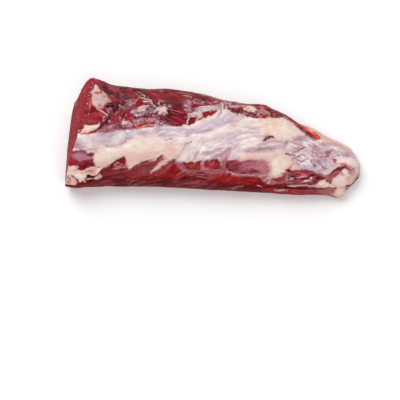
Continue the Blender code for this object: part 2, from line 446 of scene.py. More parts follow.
# Lean meat: (name, tissue, colour, cover, rise, slope, softness, outline)
LEAN_PATCHES = (
    ("far side of the cut end", "lean", "grey_lean", 0.85, 0.0, 5.0, 3.0,
     ((94, 76), (104, 80), (113, 83), (121, 87), (137, 87), (152, 88), (163, 90), (163, 96), (150, 97),
      (138, 93), (130, 95), (122, 98), (117, 94), (110, 95), (104, 91), (100, 88), (97, 84))),
    ("corner by the cut end", "lean", "cherry_lean", 0.95, 0.0, 2.0, 2.0,
     ((84, 72), (98, 73), (99, 82), (97, 90), (93, 97), (88, 98), (82, 92))),
    ("brown by the far edge", "lean", "umber", 0.6, 0.0, 3.0, 2.5,
     ((113, 86), (119, 88), (121, 93), (116, 95), (112, 91))),
    ("shoulder by the cut end", "lean", "cherry_lean", 0.9, 0.4, 4.0, 2.0,
     ((86, 96), (91, 98), (97, 108), (104, 113), (108, 117), (106, 122), (98, 124), (86, 126), (80, 130),
      (82, 115))),
    ("torn lean", "torn", "plum_lean", 1.0, -0.6, 4.0, 3.0,
     ((103, 97), (120, 93), (134, 92), (150, 94), (168, 95), (186, 97), (202, 98), (203, 112), (190, 122),
      (172, 126), (150, 128), (136, 129), (112, 131), (104, 125), (110, 112))),
    ("fibrous lean", "lean", "rust_lean", 0.9, 0.2, 2.0, 1.4,
     ((150, 88.5), (160, 90), (176, 91), (192, 93), (202, 95), (222, 99), (221, 105), (208, 104),
      (196, 99.5), (184, 99.5), (170, 99), (158, 97), (148, 93))),
    ("dark of the far rim", "lean", "dark_lean", 0.45, 0.0, 3.0, 3.0,
     ((98, 76), (125, 83), (160, 86), (200, 91), (240, 98), (268, 102), (286, 110), (280, 112),
      (262, 106.4), (236, 102.6), (200, 97), (160, 92), (125, 89.6), (104, 85))),
    ("far edge lean", "torn", "lean", 1.0, -0.4, 2.0, 1.4,
     ((200, 95), (222, 98), (240, 102), (258, 105), (268, 107), (284, 113), (287, 118), (268, 118.5),
      (250, 117.5), (236, 113), (222, 108), (206, 105))),
    ("dim lean between the shreds", "torn", "grey_lean", 0.8, 0.0, 2.0, 4.0,
     ((118, 93), (136, 94), (134, 104), (124, 108), (118, 103))),
    ("red in the torn part, left", "torn", "cherry_lean", 0.8, 0.2, 3.0, 3.0,
     ((122, 111), (128, 109), (134, 113), (133, 120), (126, 122), (122, 118))),
    ("red in the torn part, middle", "torn", "cherry_lean", 0.8, 0.2, 3.0, 3.0,
     ((134, 99), (144, 99), (150, 102), (146, 107), (136, 107))),
    ("dark lean by the hollow", "torn", "lean", 0.7, 0.0, 3.0, 4.0,
     ((152, 98), (168, 97), (168, 104), (154, 105))),
    ("plum foot of the torn part", "torn", "purple_lean", 0.5, 0.0, 3.0, 4.0,
     ((106, 124), (124, 124), (136, 127), (124, 130), (106, 131))),
    ("purple by the grey strip", "torn", "purple_lean", 0.45, 0.0, 2.0, 1.5,
     ((184, 99), (190, 99), (190, 112), (184, 113))),
    ("bump on the far edge", "lean", "bright_lean", 0.9, 1.2, 2.0, 1.0,
     ((259.5, 107), (262, 105), (266, 104.6), (268.5, 107), (267, 109.5), (262, 110))),
    ("deep hollow", "hollow", "hollow", 0.95, -1.9, 5.0, 2.6,
     ((167, 100), (177, 99), (182, 104), (185, 112), (186, 119), (181, 124), (171, 123), (167, 116),
      (168, 108))),
    ("bright side of the hollow", "hollow", "magenta_lean", 0.9, 0.2, 3.0, 3.0,
     ((174, 112), (183, 108), (186, 114), (184, 121), (176, 124), (171, 121), (172, 116))),
    # Painted shade deep in the hollow, on top of its dent
    ("dark heart of the hollow", "hollow", "dark_lean", 0.7, -0.5, 3.0, 3.0,
     ((169, 112), (174, 110), (178, 114), (174, 119), (169, 119))),
)

# Silverskin, in rows of the same kind
SILVER_PATCHES = (
    ("silverskin band", "silver", "silver", 1.0, 0.35, 4.0, 2.6,
     ((75, 137), (79, 133.6), (86, 133), (96, 132), (108, 131.5), (118, 130), (128, 129), (138, 128.5),
      (148, 127), (158, 125), (168, 124.6), (178, 125.6), (188, 125), (196, 122), (206, 117.5),
      (214, 114.5), (222, 108), (229, 110), (238, 115), (252, 118.5), (268, 118), (284, 119), (294, 125),
      (304, 134), (312, 142), (304, 160), (270, 159), (240, 161), (226, 161), (212, 160), (200, 161.4),
      (190, 162.4), (180, 162), (170, 160), (160, 152), (120, 152), (96, 153), (88, 153), (84, 150.4),
      (76, 150.8), (72.8, 150), (73, 143))),
    ("silverskin on the tail", "silver", "silver", 1.0, 0.2, 3.0, 2.6,
     ((284, 138), (300, 130), (320, 130), (342, 143), (356, 152), (361, 166), (350, 167), (340, 170),
      (328, 174), (317, 172), (306, 169.5), (298, 171), (290, 169), (282, 152))),
    ("pearl by the cut end", "silver", "pearl", 0.9, 0.2, 3.0, 4.0,
     ((73, 141), (80, 138), (92, 141), (100, 144), (96, 150), (86, 150), (78, 150), (73, 148))),
    ("cool strip by the cut end", "silver", "blue_silver", 0.65, -0.1, 3.0, 3.0,
     ((84, 134.6), (96, 133.6), (110, 133), (118, 134), (112, 138.6), (98, 140), (86, 139))),
    ("rosy part by the cut end", "silver", "rose", 0.35, 0.0, 3.0, 4.0,
     ((96, 141), (106, 140), (110, 144), (100, 148), (92, 147))),
    ("pearl left of the blue", "silver", "pearl", 0.9, 0.4, 3.0, 3.0,
     ((112, 136), (118, 134), (123, 135), (124, 141), (117, 144), (112, 142))),
    ("bluish streak", "silver", "blue_silver", 0.9, -0.2, 3.0, 2.4,
     ((124, 134), (130, 132), (138, 131.2), (146, 131.6), (144, 135), (136, 136.4), (130, 139),
      (126, 138))),
    # Painted shade: a dim band just above the ridge's upper edge
    ("dim streak over the ridge", "silver", "violet", 0.5, -0.2, 2.0, 2.4,
     ((126, 140), (134, 136), (146, 134.4), (158, 135), (168, 138.4), (156, 137.6), (142, 136.8),
      (132, 139))),
    ("bluish band, middle", "silver", "lavender", 0.7, -0.2, 4.0, 4.0,
     ((148, 131), (160, 128), (176, 128.4), (196, 127), (214, 121), (214, 126), (196, 133), (176, 137),
      (158, 136))),
    ("mauve below the torn part", "silver", "mauve", 0.6, 0.0, 3.0, 4.0,
     ((99, 128), (109, 126), (115, 131), (106, 135), (97, 133))),
    ("white by the ridge's top", "silver", "pearl", 0.9, 0.3, 2.0, 2.4,
     ((144, 128.4), (154, 127), (156, 131), (148, 133.4), (144, 132))),
    ("pearl field", "silver", "pearl", 0.75, 0.3, 6.0, 6.0,
     ((190, 136), (206, 132), (220, 126), (236, 124), (262, 122), (266, 130), (262, 142), (246, 148),
      (226, 150), (206, 150), (192, 150), (188, 142))),
    ("milky part by the far fat", "silver", "ivory", 0.8, 0.6, 6.0, 6.0,
     ((236, 124), (250, 120.4), (262, 119.6), (264, 130), (262, 140), (256, 145), (246, 145), (236, 138))),
    ("white peak by the strands", "silver", "pearl", 0.6, 0.5, 2.0, 3.0,
     ((213, 114), (221, 104), (226, 103), (229, 112), (226, 118), (216, 121))),
    ("blue below the strands", "silver", "blue_silver", 0.7, 0.0, 3.0, 3.0,
     ((214, 120), (230, 114), (240, 117), (230, 122.6), (216, 126))),
    ("lilac streak below the strands", "silver", "violet", 0.4, -0.2, 2.0, 2.0,
     ((200, 131), (214, 125.4), (226, 121.6), (240, 120.8), (228, 124.4), (214, 129), (202, 133.4))),
    ("second lilac streak", "silver", "violet", 0.2, -0.2, 2.0, 2.0,
     ((208, 140), (220, 134.6), (232, 131.4), (244, 130.4), (234, 134), (222, 138.4), (210, 143))),
    ("third lilac streak", "silver", "violet", 0.2, -0.2, 2.0, 2.4,
     ((198, 147), (212, 143.6), (226, 142.4), (220, 146), (206, 149))),
    ("fan of silverskin", "silver", "pearl", 0.75, 0.5, 3.0, 2.6,
     ((184, 147), (192, 143), (204, 148), (212, 152), (204, 158.6), (192, 161.6), (180, 161.6),
      (178, 158))),
    ("rosy gap in the fan", "silver", "rose", 0.4, -0.1, 2.0, 2.6,
     ((194, 153), (199, 152), (200, 159), (196, 160.6), (193, 158))),
    ("mauve shade, middle", "silver", "mauve", 0.65, -0.3, 2.0, 2.2,
     ((198, 153), (210, 151.6), (222, 147.6), (223, 150), (214, 153.4), (202, 155.4))),
    ("lower mauve shade", "silver", "mauve", 0.45, -0.3, 1.6, 2.0,
     ((207, 158.6), (216, 155), (222, 154), (218, 157.8), (210, 160))),
    ("spot above the crack", "silver", "mauve", 0.6, 0.0, 1.4, 1.8,
     ((184, 136.6), (188, 134.4), (192, 136), (191, 138), (186, 138))),
    ("grey shade", "silver", "grey_silver", 0.4, -0.2, 3.0, 4.0,
     ((222, 138), (232, 131.4), (244, 131), (240, 134.6), (230, 139))),
    ("grey band under the fat", "silver", "mauve", 0.5, -0.4, 2.0, 2.8,
     ((244, 149), (256, 145), (262, 141.4), (272, 140), (284, 142), (288, 145), (284, 149), (272, 150),
      (256, 152), (246, 152.4))),
    ("slate in the grey band", "silver", "slate", 0.4, -0.3, 1.2, 1.8,
     ((248, 150), (260, 147.4), (274, 148.2), (264, 150), (252, 151.4))),
    ("white lines of the grey band", "silver", "pearl", 0.7, 0.3, 1.2, 1.6,
     ((262, 144.6), (274, 142.6), (286, 145), (276, 145), (264, 146.2))),
    ("grey between the windows", "silver", "grey_silver", 0.3, 0.0, 2.0, 3.0,
     ((228, 148), (238, 144), (240, 150), (232, 156), (228, 154))),
    ("mauve tail field", "silver", "mauve", 0.5, -0.2, 2.0, 3.0,
     ((288, 136), (306, 136), (306, 142), (290, 145))),
    ("pink tail field", "silver", "rose", 0.4, 0.0, 3.0, 4.0,
     ((312, 149), (330, 148), (338, 154), (336, 166), (322, 168), (314, 160))),
    ("white before the swirl", "silver", "pearl", 0.85, 0.4, 2.0, 2.0,
     ((288, 146), (300, 144.6), (308, 145.6), (300, 149.6), (291, 151))),
    ("white over the tail", "silver", "white", 0.95, 0.3, 2.0, 3.0,
     ((304, 143), (320, 142), (336, 148), (352, 153), (340, 152), (324, 148), (310, 148))),
    ("blue below the swirl", "silver", "blue_silver", 0.9, 0.2, 2.0, 2.6,
     ((303, 161), (314, 160.6), (319, 168), (317, 172.6), (308, 170), (302, 166))),
    ("lavender knot on the tail", "silver", "lavender", 0.8, 0.4, 2.0, 2.0,
     ((320, 158.6), (328, 158), (330, 163), (326, 167), (320, 165))),
    ("grey on the tail", "silver", "grey_silver", 0.6, 0.0, 2.0, 3.0,
     ((336, 150.4), (350, 151.6), (357, 156), (346, 155.6), (337, 153.6))),
    ("white on the tail", "silver", "pearl", 0.85, 0.3, 2.0, 2.4,
     ((336, 157), (348, 159), (357, 160), (358, 166), (346, 164), (336, 162))),
    ("mauve field in the torn part", "silver", "rose", 0.95, 0.2, 2.5, 3.0,
     ((128, 121), (138, 117), (148, 116.6), (157, 119), (150, 122.6), (140, 125.4), (130, 126))),
    ("rosy smear in the torn part", "silver", "rose", 0.45, 0.2, 2.5, 3.0,
     ((124, 104), (132, 98), (140, 97), (138, 104), (130, 108), (125, 110))),
    ("lavender band in the torn part", "silver", "violet", 1.0, 0.7, 2.4, 2.4,
     ((130, 111), (138, 108.6), (148, 105.6), (158, 107), (156, 112), (148, 113.6), (140, 115.4),
      (132, 113.6))),
    ("rosy left of that band", "silver", "rose", 0.6, 0.0, 2.0, 3.0,
     ((130, 111), (138, 108), (143, 107), (142, 114), (136, 115.6))),
    ("lavender by the hollow's foot", "silver", "lavender", 0.7, 0.2, 2.0, 3.0,
     ((156, 121), (164, 121), (170, 124.6), (160, 126.6), (154, 125))),
    ("lavender by the far edge", "silver", "lavender", 0.75, 0.3, 1.4, 2.0,
     ((194, 100.4), (203, 100), (203, 103), (195, 103.6))),
    ("pink left of the grey strip", "silver", "mauve", 0.15, 0.2, 2.0, 3.0,
     ((183, 101), (188, 100), (189, 110), (186, 113), (183, 109))),
)

# Lean meat that the silverskin leaves bare, and what shows in it and around it
WINDOW_PATCHES = (
    ("lower lean", "lean", "brown_lean", 1.0, -0.6, 2.0, 1.6,
     ((90, 168), (103, 168.6), (112, 167), (124, 165.6), (132, 167.4), (138, 165), (148, 161), (158, 158.6),
      (166, 158.6), (176, 162), (186, 163.6), (204, 161.6), (220, 161), (232, 160), (250, 159), (262, 160),
      (270, 172), (284, 176), (286, 190), (250, 194), (200, 192), (150, 190), (110, 190), (84, 190),
      (82, 180))),
    ("purple window by the cut end", "lean", "purple_lean", 0.85, -0.4, 2.0, 2.0,
     ((72, 151.5), (78, 150.7), (83, 150), (86.4, 151), (86.5, 154), (84.5, 156.4), (80, 158.4),
      (76, 159.6), (73, 159), (71.6, 156))),
    ("rim of the purple window", "lean", "plum_lean", 0.7, -0.3, 1.0, 1.3,
     ((73, 152.4), (82, 150.8), (86, 151.4), (86, 154), (80, 152.8), (74, 153.6))),
    ("lavender of the purple window", "silver", "mauve", 0.9, 0.0, 3.0, 3.0,
     ((74, 156), (80, 153.6), (86, 154), (91, 158), (87, 161.4), (79, 161.4))),
    ("red below the purple window", "lean", "bright_lean", 0.95, -0.2, 1.6, 1.6,
     ((67, 158.6), (72, 159.6), (75, 161), (73, 165), (67, 167.4))),
    ("red pit by the ridge", "torn", "cherry_lean", 1.0, -0.8, 1.6, 1.6,
     ((76, 162), (86, 160.6), (92, 160.4), (94.4, 165), (90, 167.6), (81, 169), (76, 167.4))),
    ("dim lean, left", "lean", "plum_lean", 0.5, 0.0, 2.0, 5.0,
     ((96, 170), (116, 169), (128, 171), (126, 180), (100, 180))),
    ("lean under the ridge", "lean", "plum_lean", 0.6, 0.0, 2.0, 3.0,
     ((131, 167), (142, 161.6), (152, 160.6), (157, 163), (150, 170), (138, 171))),
    ("rust window", "lean", "rust_lean", 1.0, 0.3, 3.0, 3.0,
     ((158, 169), (166, 163.6), (177, 163.6), (183, 166), (180, 174), (166, 177), (154, 175))),
    # Painted shadow along the low edge, where the second piece, which is not built, cast its shade
    ("dark low edge", "lean", "dark_lean", 0.75, -0.4, 6.0, 6.0,
     ((96, 181), (130, 178), (170, 179), (210, 181), (250, 184), (284, 188), (284, 200), (96, 200))),
    ("window one", "lean", "rust_lean", 1.0, -0.8, 2.4, 1.8,
     ((184, 165), (188, 163), (195, 162.6), (200, 162.4), (202, 164), (200.8, 168), (198, 170.4),
      (191, 170.6), (186, 168.6))),
    ("orange of window one", "lean", "umber", 0.6, 0.0, 2.0, 2.4,
     ((188, 165), (196, 164), (199, 168), (192, 169.4))),
    ("window two", "lean", "cherry_lean", 1.0, -0.8, 2.4, 1.8,
     ((204.6, 163.4), (208, 161), (213, 159.6), (218.6, 159), (219.4, 163), (218, 167), (213, 169),
      (207, 169.6), (205, 167))),
    ("light of window two", "lean", "haze", 0.5, 0.0, 2.0, 2.4,
     ((207, 163), (214, 161.4), (217, 164), (211, 167))),
    ("great window", "lean", "purple_lean", 1.0, -0.8, 2.6, 1.9,
     ((228.6, 162.5), (231, 160), (237, 158.8), (245, 158.6), (254, 158.4), (261, 158.6), (265.5, 160.4),
      (268.4, 163.6), (269.6, 167.4), (267.6, 171), (263, 173.2), (255, 174), (246, 173.8), (238, 172.8),
      (232, 171), (229, 167))),
    ("red side of the great window", "lean", "cherry_lean", 0.45, 0.0, 2.0, 3.0,
     ((228, 160), (235, 160), (238, 166), (240, 173), (232, 172), (228, 167))),
    ("foot of the great window", "lean", "plum_lean", 0.35, 0.0, 2.0, 3.0,
     ((238, 171), (250, 171), (262, 170), (258, 175), (240, 174.6))),
    ("light of the great window", "lean", "rose", 0.4, 0.0, 2.0, 3.0,
     ((244, 164), (254, 162.6), (262, 165), (256, 169), (245, 169))),
    ("yellow-brown upright", "lean", "umber", 0.7, 0.2, 2.0, 3.0,
     ((208, 172.6), (212.6, 172), (212.6, 177), (210.6, 180.4), (208, 177))),
    ("bright red low", "lean", "bright_lean", 0.6, 0.0, 2.0, 3.0,
     ((216, 176), (236, 176.6), (256, 178), (252, 184), (226, 184.6))),
    ("pink band under the windows", "silver", "rose", 0.5, 0.2, 2.0, 2.6,
     ((184, 171), (200, 170.6), (216, 169.4), (226, 171), (222, 174), (204, 174.4), (186, 174.6))),
    ("pink band under the great window", "silver", "rose", 0.6, 0.2, 2.0, 2.0,
     ((230, 172), (246, 174.4), (262, 173.4), (264, 176.6), (246, 177.4), (232, 176))),
    ("lean under the lobe", "lean", "rose", 0.6, -0.4, 2.0, 2.2,
     ((270, 181), (280, 178), (286, 174), (292, 174), (292, 182), (280, 185), (268, 184))),
    ("rust beside the lobe", "lean", "rust_lean", 0.8, 0.0, 1.4, 1.9,
     ((275, 178), (284, 174.6), (286, 178), (277, 182))),
    ("muscle before the tail", "torn", "haze", 0.9, -0.7, 3.0, 4.0,
     ((286, 178), (292, 173), (300, 170), (308, 170), (318, 174), (326, 176.4), (332, 173.4), (338, 169.6),
      (346, 167), (349, 169), (342, 172), (336, 176), (331, 182), (326, 180), (318, 183), (304, 185.5),
      (292, 184), (285, 182))),
    ("red under the tail fat", "lean", "cherry_lean", 0.7, -0.4, 3.0, 5.0,
     ((252, 191.6), (268, 190.6), (286, 190), (302, 189.6), (318, 189), (334, 188.6), (337, 190.4),
      (326, 195), (306, 197), (286, 196), (264, 194))),
    ("notch in the fat", "silver", "peach", 0.9, 0.0, 1.0, 1.1,
     ((261.6, 139.4), (268.5, 133.8), (273.6, 137.2), (268, 138.6))),
    ("film under the ridge", "silver", "haze", 0.35, 0.0, 3.0, 5.0,
     ((126, 170), (140, 164), (156, 160), (166, 158), (166, 168), (150, 176), (130, 178))),
    ("film right of that", "silver", "haze", 0.3, 0.0, 3.0, 4.0,
     ((176, 164), (190, 171), (206, 171), (224, 170), (224, 176), (204, 178), (186, 176))),
    ("upright fascia", "silver", "rose", 0.7, 0.0, 3.0, 2.4,
     ((219, 149), (231, 147), (229.6, 156), (227.4, 162), (227, 168), (229, 174), (226, 176), (223, 170),
      (221.4, 165), (221, 158))),
    ("rosy side of the upright fascia", "silver", "rose", 0.3, 0.0, 2.0, 2.4,
     ((220, 156), (223, 154), (224, 166), (226, 174), (222, 170), (220, 164))),
    ("fascia between the windows", "silver", "rose", 0.9, 0.4, 1.6, 1.8,
     ((200.6, 161.6), (204.6, 162), (205, 168), (208, 170.6), (202, 171), (200.4, 167))),
    ("fascia left of window one", "silver", "rose", 0.5, 0.3, 2.0, 2.4,
     ((176, 161), (184, 161.6), (186, 167), (188, 171), (182, 172), (178, 168))),
)

# Fat: {piece: ((name, colour, cover, rise, slope, softness, outline), ...)}
FAT_PATCHES = {
    "fat_ridge": (
        ("ridge", "cream", 1.0, 1.9, 7.0, 2.8,
         ((93, 158), (94.6, 152), (97, 147.8), (102, 146.4), (108, 147.6), (113, 148.6), (118, 147.4),
          (124, 144.4), (129, 140.4), (134, 137.3), (141, 136.3), (150, 137), (157, 137), (162, 138.6),
          (167, 141.6), (173, 140.8), (181, 139), (187, 139.4), (184.6, 145), (182, 151), (179.6, 155),
          (175, 158.6), (170, 158), (166, 154.6), (161, 156.4), (156, 158.6), (150, 160.2), (143, 161.4),
          (137, 163.5), (133.4, 166), (130.6, 168.8), (128, 168), (126.4, 164), (124, 157), (119, 158.6),
          (113, 162.4), (108, 165.5), (103, 167.8), (98, 167), (94, 163))),
        # Painted light: the ivory crowns are the ridge's lit top. The pink feet are partly the fat's own
        # pink and partly painted shade.
        ("crown of the ridge", "ivory", 0.8, 0.8, 6.0, 5.0,
         ((126, 143), (134, 139), (150, 139), (158, 142), (150, 148), (136, 151), (127, 150))),
        ("left crown", "ivory", 0.4, 0.6, 5.0, 4.0,
         ((97, 150), (106, 150), (114, 151), (110, 157), (100, 160))),
        ("foot of the ridge", "pink_fat", 0.8, 0.0, 4.0, 4.0,
         ((124, 155), (140, 153), (158, 152), (152, 158), (138, 161.6), (127, 166))),
        ("left foot of the ridge", "pink_fat", 0.7, 0.0, 4.0, 4.0,
         ((96, 161), (108, 160), (122, 156), (114, 161), (104, 166), (98, 166))),
        ("end of the ridge", "pink_fat", 0.45, 0.0, 4.0, 4.0,
         ((164, 144), (176, 142), (184, 143), (178, 154), (170, 156))),
        ("tongue under the pocket", "rose", 0.9, 0.8, 1.2, 1.2,
         ((112.6, 169.4), (118, 166.8), (126, 164.4), (128, 166), (122, 168.4), (116, 170))),
        ("slanting finger", "pink_fat", 0.85, 1.0, 2.4, 2.0,
         ((171, 152), (178, 151), (177, 157), (170, 162), (163, 167), (156, 171.6), (149.6, 173.4),
          (153, 168.6), (159, 163), (165, 157.6))),
    ),
    "fat_far_half": (
        ("far half", "ivory", 1.0, 0.7, 9.0, 4.4,
         ((259, 121), (263, 119), (268, 118), (273, 117.6), (283, 117.8), (290, 121.8), (297, 127.6),
          (302, 132), (298, 136.4), (290, 139), (285, 138.6), (279, 139.4), (275.6, 136.8), (269, 132.6),
          (264, 135), (260, 136), (258, 131), (257.6, 125))),
        ("warm part", "warm_cream", 0.9, 0.3, 4.0, 3.6,
         ((263, 120), (270, 120), (277, 126), (281, 134), (274, 134), (268, 131), (264, 132), (262, 126))),
        ("yellow tip", "tan_fat", 0.5, 0.2, 2.0, 2.4,
         ((262.6, 119.6), (267, 118.6), (268.6, 124), (266, 127), (263.6, 124))),
        ("white end", "ivory", 0.8, 0.3, 4.0, 3.6,
         ((281, 123), (288, 125), (292, 133), (285, 138), (280, 131))),
        ("pink of the far half", "pink_fat", 0.4, 0.0, 4.0, 4.0,
         ((271, 119.6), (281, 120), (281, 126), (273, 125))),
    ),
    "fat_lobe": (
        ("peach band", "cream", 0.9, 0.6, 3.0, 2.6,
         ((238, 159), (241, 154.6), (250, 153.4), (262, 152.4), (274, 152), (283, 151.6), (288, 155),
          (278, 160), (270, 162), (264, 160), (256, 159), (248, 159.4), (242, 160.6))),
        ("rim of the peach band", "peach", 0.75, 0.0, 1.2, 1.6,
         ((240, 159.4), (246, 157), (256, 156.4), (266, 158.4), (268, 161), (262, 160), (250, 159.6),
          (243, 160.8))),
        ("lobe", "cream", 1.0, 0.5, 6.0, 4.0,
         ((268, 160), (275, 154), (284, 152.6), (289, 156), (291.6, 162), (290, 167), (286, 171.4),
          (281, 174.8), (276, 176.8), (272, 178.2), (268.6, 178.8), (267.2, 176.8), (268.6, 173),
          (270.4, 169), (270, 165))),
        ("white of the lobe", "ivory", 0.85, 0.4, 4.0, 4.0,
         ((276, 158), (284, 157), (288, 163), (283, 169), (276, 172), (273, 166))),
        ("peach beside the swirl", "pink_fat", 0.85, 0.7, 1.6, 2.2,
         ((290.6, 168), (293.4, 163.4), (298, 165), (300, 168.6), (295, 171), (291, 171))),
    ),
    "fat_tail": (
        ("near lump", "cream", 1.0, 1.8, 3.4, 1.4,
         ((316, 184.4), (321, 180.6), (325, 179.4), (328, 181.4), (330.6, 183), (333, 181.4),
          (334.6, 184.6), (332, 187.4), (326, 188), (320, 186.8))),
        ("middle lump", "cream", 1.0, 2.2, 4.0, 1.6,
         ((332, 181), (335.4, 176.8), (341, 175.4), (346, 176.6), (349, 179.4), (348.6, 184), (344, 187.4),
          (337, 187.8), (333, 185.6))),
        ("far lump", "pink_fat", 1.0, 1.4, 3.4, 1.8,
         ((345.6, 176.8), (351, 174), (357, 175.6), (358.6, 179), (354.6, 183.2), (349, 186),
          (346.4, 182))),
        ("white knot", "pearl", 0.9, 0.8, 2.4, 1.8,
         ((342.6, 170.6), (345.6, 169.6), (348, 172), (348.4, 175.6), (345.6, 176), (343.4, 173.6))),
        ("tail end", "cream", 0.85, 1.0, 4.0, 3.0,
         ((351, 164.6), (357, 161), (362, 168), (362, 175), (357, 178), (351.6, 176), (349.6, 170))),
        ("light of the tail end", "pearl", 0.7, 0.2, 3.0, 3.0,
         ((350, 160), (356, 159), (359, 165), (354, 168), (350, 165))),
        ("strip by the near lump", "pink_fat", 0.8, 0.5, 1.2, 1.2,
         ((288, 186), (300, 184.6), (310, 184.4), (319, 185.2), (326, 187.2), (318, 187.4), (304, 186.4),
          (292, 187))),
        ("knob", "tan_fat", 1.0, 1.6, 4.0, 1.2,
         ((335.6, 190.6), (339, 187.8), (344, 187.8), (347, 191), (345.6, 196), (341, 198.4),
          (336.6, 196))),
        ("light of the knob", "warm_cream", 0.7, 0.3, 2.0, 2.0,
         ((338, 190), (343, 189.6), (344, 193), (340, 195), (337.4, 193))),
    ),
    "fat_edge": (
        ("tan edge of the tail", "tan_fat", 0.9, 0.8, 2.4, 2.0,
         ((300, 123.4), (312, 127), (325, 134.4), (336, 141), (344, 146), (353, 151), (350, 152),
          (340, 148), (328, 144), (320, 139), (312, 131.4), (304, 127.4))),
        ("pink of that edge", "pink_fat", 0.85, 0.5, 2.0, 2.0,
         ((325, 137), (334, 140), (340, 145), (334, 146), (326, 143))),
        ("peach of that edge", "peach", 0.4, 0.3, 1.8, 2.0,
         ((337, 146), (344, 147), (352, 150.6), (344, 151), (337, 149))),
        ("coral edge", "coral", 0.35, 0.6, 1.4, 1.4,
         ((295.6, 122.8), (303, 124.6), (312, 128.6), (319, 133.2), (320.6, 136), (314, 131.4), (305, 128),
          (299, 126))),
    ),
    "fat_comma": (
        ("comma", "grey_fat", 1.0, 2.0, 4.0, 1.4,
         ((96, 85.4), (98, 88), (99.6, 90.6), (102, 91.8), (104, 93.6), (106.4, 97), (107.4, 100.5),
          (107.4, 103), (105.2, 104.2), (103.4, 106), (102.4, 108.2), (100, 108.4), (97, 106.6),
          (95, 104.4), (93, 101), (92.4, 96.5), (93, 92), (94.4, 88))),
        ("pink rim of the comma", "pink_fat", 0.7, 0.0, 1.0, 1.6,
         ((91.6, 92), (93.4, 92), (93.6, 99), (97, 105), (95, 106), (92, 101))),
        ("rosy side of the comma", "rose", 0.5, 0.0, 2.0, 3.0,
         ((103, 92.4), (108, 96.4), (112, 104), (106, 106), (103, 103), (102, 97))),
        ("wedge", "cream", 1.0, 1.2, 2.4, 1.2,
         ((80.4, 131.6), (84, 126.4), (87, 124.4), (92, 124), (101, 123.2), (98, 126.4), (95.4, 129),
          (90.6, 131), (85, 132.4))),
    ),
    "fat_corner": (
        ("light flap", "cream", 1.0, 2.2, 2.8, 1.2,
         ((63.4, 171), (65, 167.4), (70, 165.8), (77, 165.4), (79, 167.4), (77, 169.4), (80.6, 171.2),
          (76, 173), (70, 174.4), (64.4, 176))),
        ("rolled lobe", "tan_fat", 1.0, 4.0, 3.2, 1.2,
         ((62.6, 178), (65, 175), (69, 173.8), (73, 176), (76, 179), (77.6, 182), (75, 185), (70, 184.4),
          (65.6, 182.4))),
        ("round end of the lobe", "peach", 0.9, 1.4, 2.4, 1.4,
         ((71, 180.6), (74, 179), (77, 181.6), (76, 184), (72, 184))),
        ("white flap", "ivory", 1.0, 2.8, 2.4, 1.0,
         ((71, 173.4), (76, 171.8), (81, 171.4), (85, 173), (86.8, 175.6), (85.4, 178.4), (82.4, 181.2),
          (80.4, 182), (77, 179), (73.4, 176))),
        ("far flap", "peach", 1.0, 1.8, 2.4, 1.2,
         ((79, 172.8), (84, 169.6), (88, 168), (94, 166.8), (99, 167.6), (104.6, 166.8), (101, 170.6),
          (98, 173), (93, 174.8), (88, 174.8), (84, 173.8))),
        ("white of the far flap", "pearl", 0.9, 0.6, 1.4, 1.2,
         ((94.6, 172.4), (97, 168.6), (103.6, 167), (101, 170.6), (97.8, 173.4))),
        ("small lobe", "rose", 1.0, 1.4, 1.8, 1.2,
         ((93, 179), (95.4, 176.4), (99, 174.8), (101.4, 176.6), (99, 179.6), (95, 180.6))),
        ("small strip", "tan_fat", 0.95, 0.9, 0.9, 0.8,
         ((86, 179.2), (88.6, 177.8), (92.6, 178), (91.4, 179.8))),
        ("small tip", "peach", 0.95, 1.2, 1.0, 0.8, ((83.6, 181.6), (85, 180), (87, 181.6), (85.4, 183.4))),
    ),
    "fat_flecks": (
        ("pale fan, far edge", "cream", 1.0, 1.2, 2.0, 1.4,
         ((243, 108.4), (247, 106.6), (252, 107), (256.4, 108), (255, 111), (252.6, 113), (249, 111.6),
          (245, 110.4))),
        ("green-grey lump, far edge", "grey_fat", 0.9, 1.0, 1.8, 1.4,
         ((239.6, 116.4), (242, 114.8), (246, 116), (247.4, 119), (243.6, 120.6), (240.4, 119))),
        ("pale lump by the peak", "pink_fat", 0.85, 0.8, 1.4, 1.4,
         ((229, 105.6), (233, 104.4), (237.6, 105.4), (236.4, 107.6), (231, 107.8))),
        ("second pale lump", "peach", 0.8, 0.6, 1.2, 1.2,
         ((236.6, 104.6), (241, 104.6), (243.6, 106), (239, 106.4))),
        ("arm by the bump", "peach", 0.9, 0.7, 1.2, 1.2,
         ((255.6, 112.6), (259, 110), (262, 110.6), (266, 112), (271, 113.6), (265, 114), (261, 113),
          (257.6, 115))),
        ("foot of that arm", "peach", 0.85, 0.5, 1.0, 1.2,
         ((256.4, 114.6), (259, 114.6), (264, 117.6), (260, 118))),
        ("white mass in the torn part", "silver", 1.0, 1.1, 3.0, 1.6,
         ((158.5, 108), (160, 105.4), (163, 106.6), (165.8, 104.4), (166, 107.4), (168.6, 108.6),
          (166.4, 110.6), (167.2, 113.4), (164.6, 112.8), (163.4, 115.4), (161.4, 113), (158, 114.2),
          (159.4, 111), (156.6, 110))),
        ("white wedge in the torn part", "rose", 0.9, 0.5, 1.4, 2.0,
         ((121.6, 121), (124, 119.8), (127, 120.4), (127.6, 124), (125, 126), (122.6, 124.6))),
        ("strip over the red window", "rose", 0.85, 0.5, 1.6, 2.0,
         ((187.4, 124), (187, 116), (187.6, 107), (188, 101), (191, 99.6), (192.4, 106), (192, 112),
          (190.4, 115), (189.4, 119), (188.8, 124.4))),
        ("strands above the red window", "silver", 0.9, 0.5, 1.8, 2.0,
         ((190, 113), (193, 110.6), (197, 108.4), (202, 107), (208, 107.4), (216, 106), (221, 102.6),
          (222.6, 108), (217, 110), (210, 110.4), (205, 111.6), (202.4, 115), (199.6, 118.4), (197, 116.4),
          (193, 115.4))),
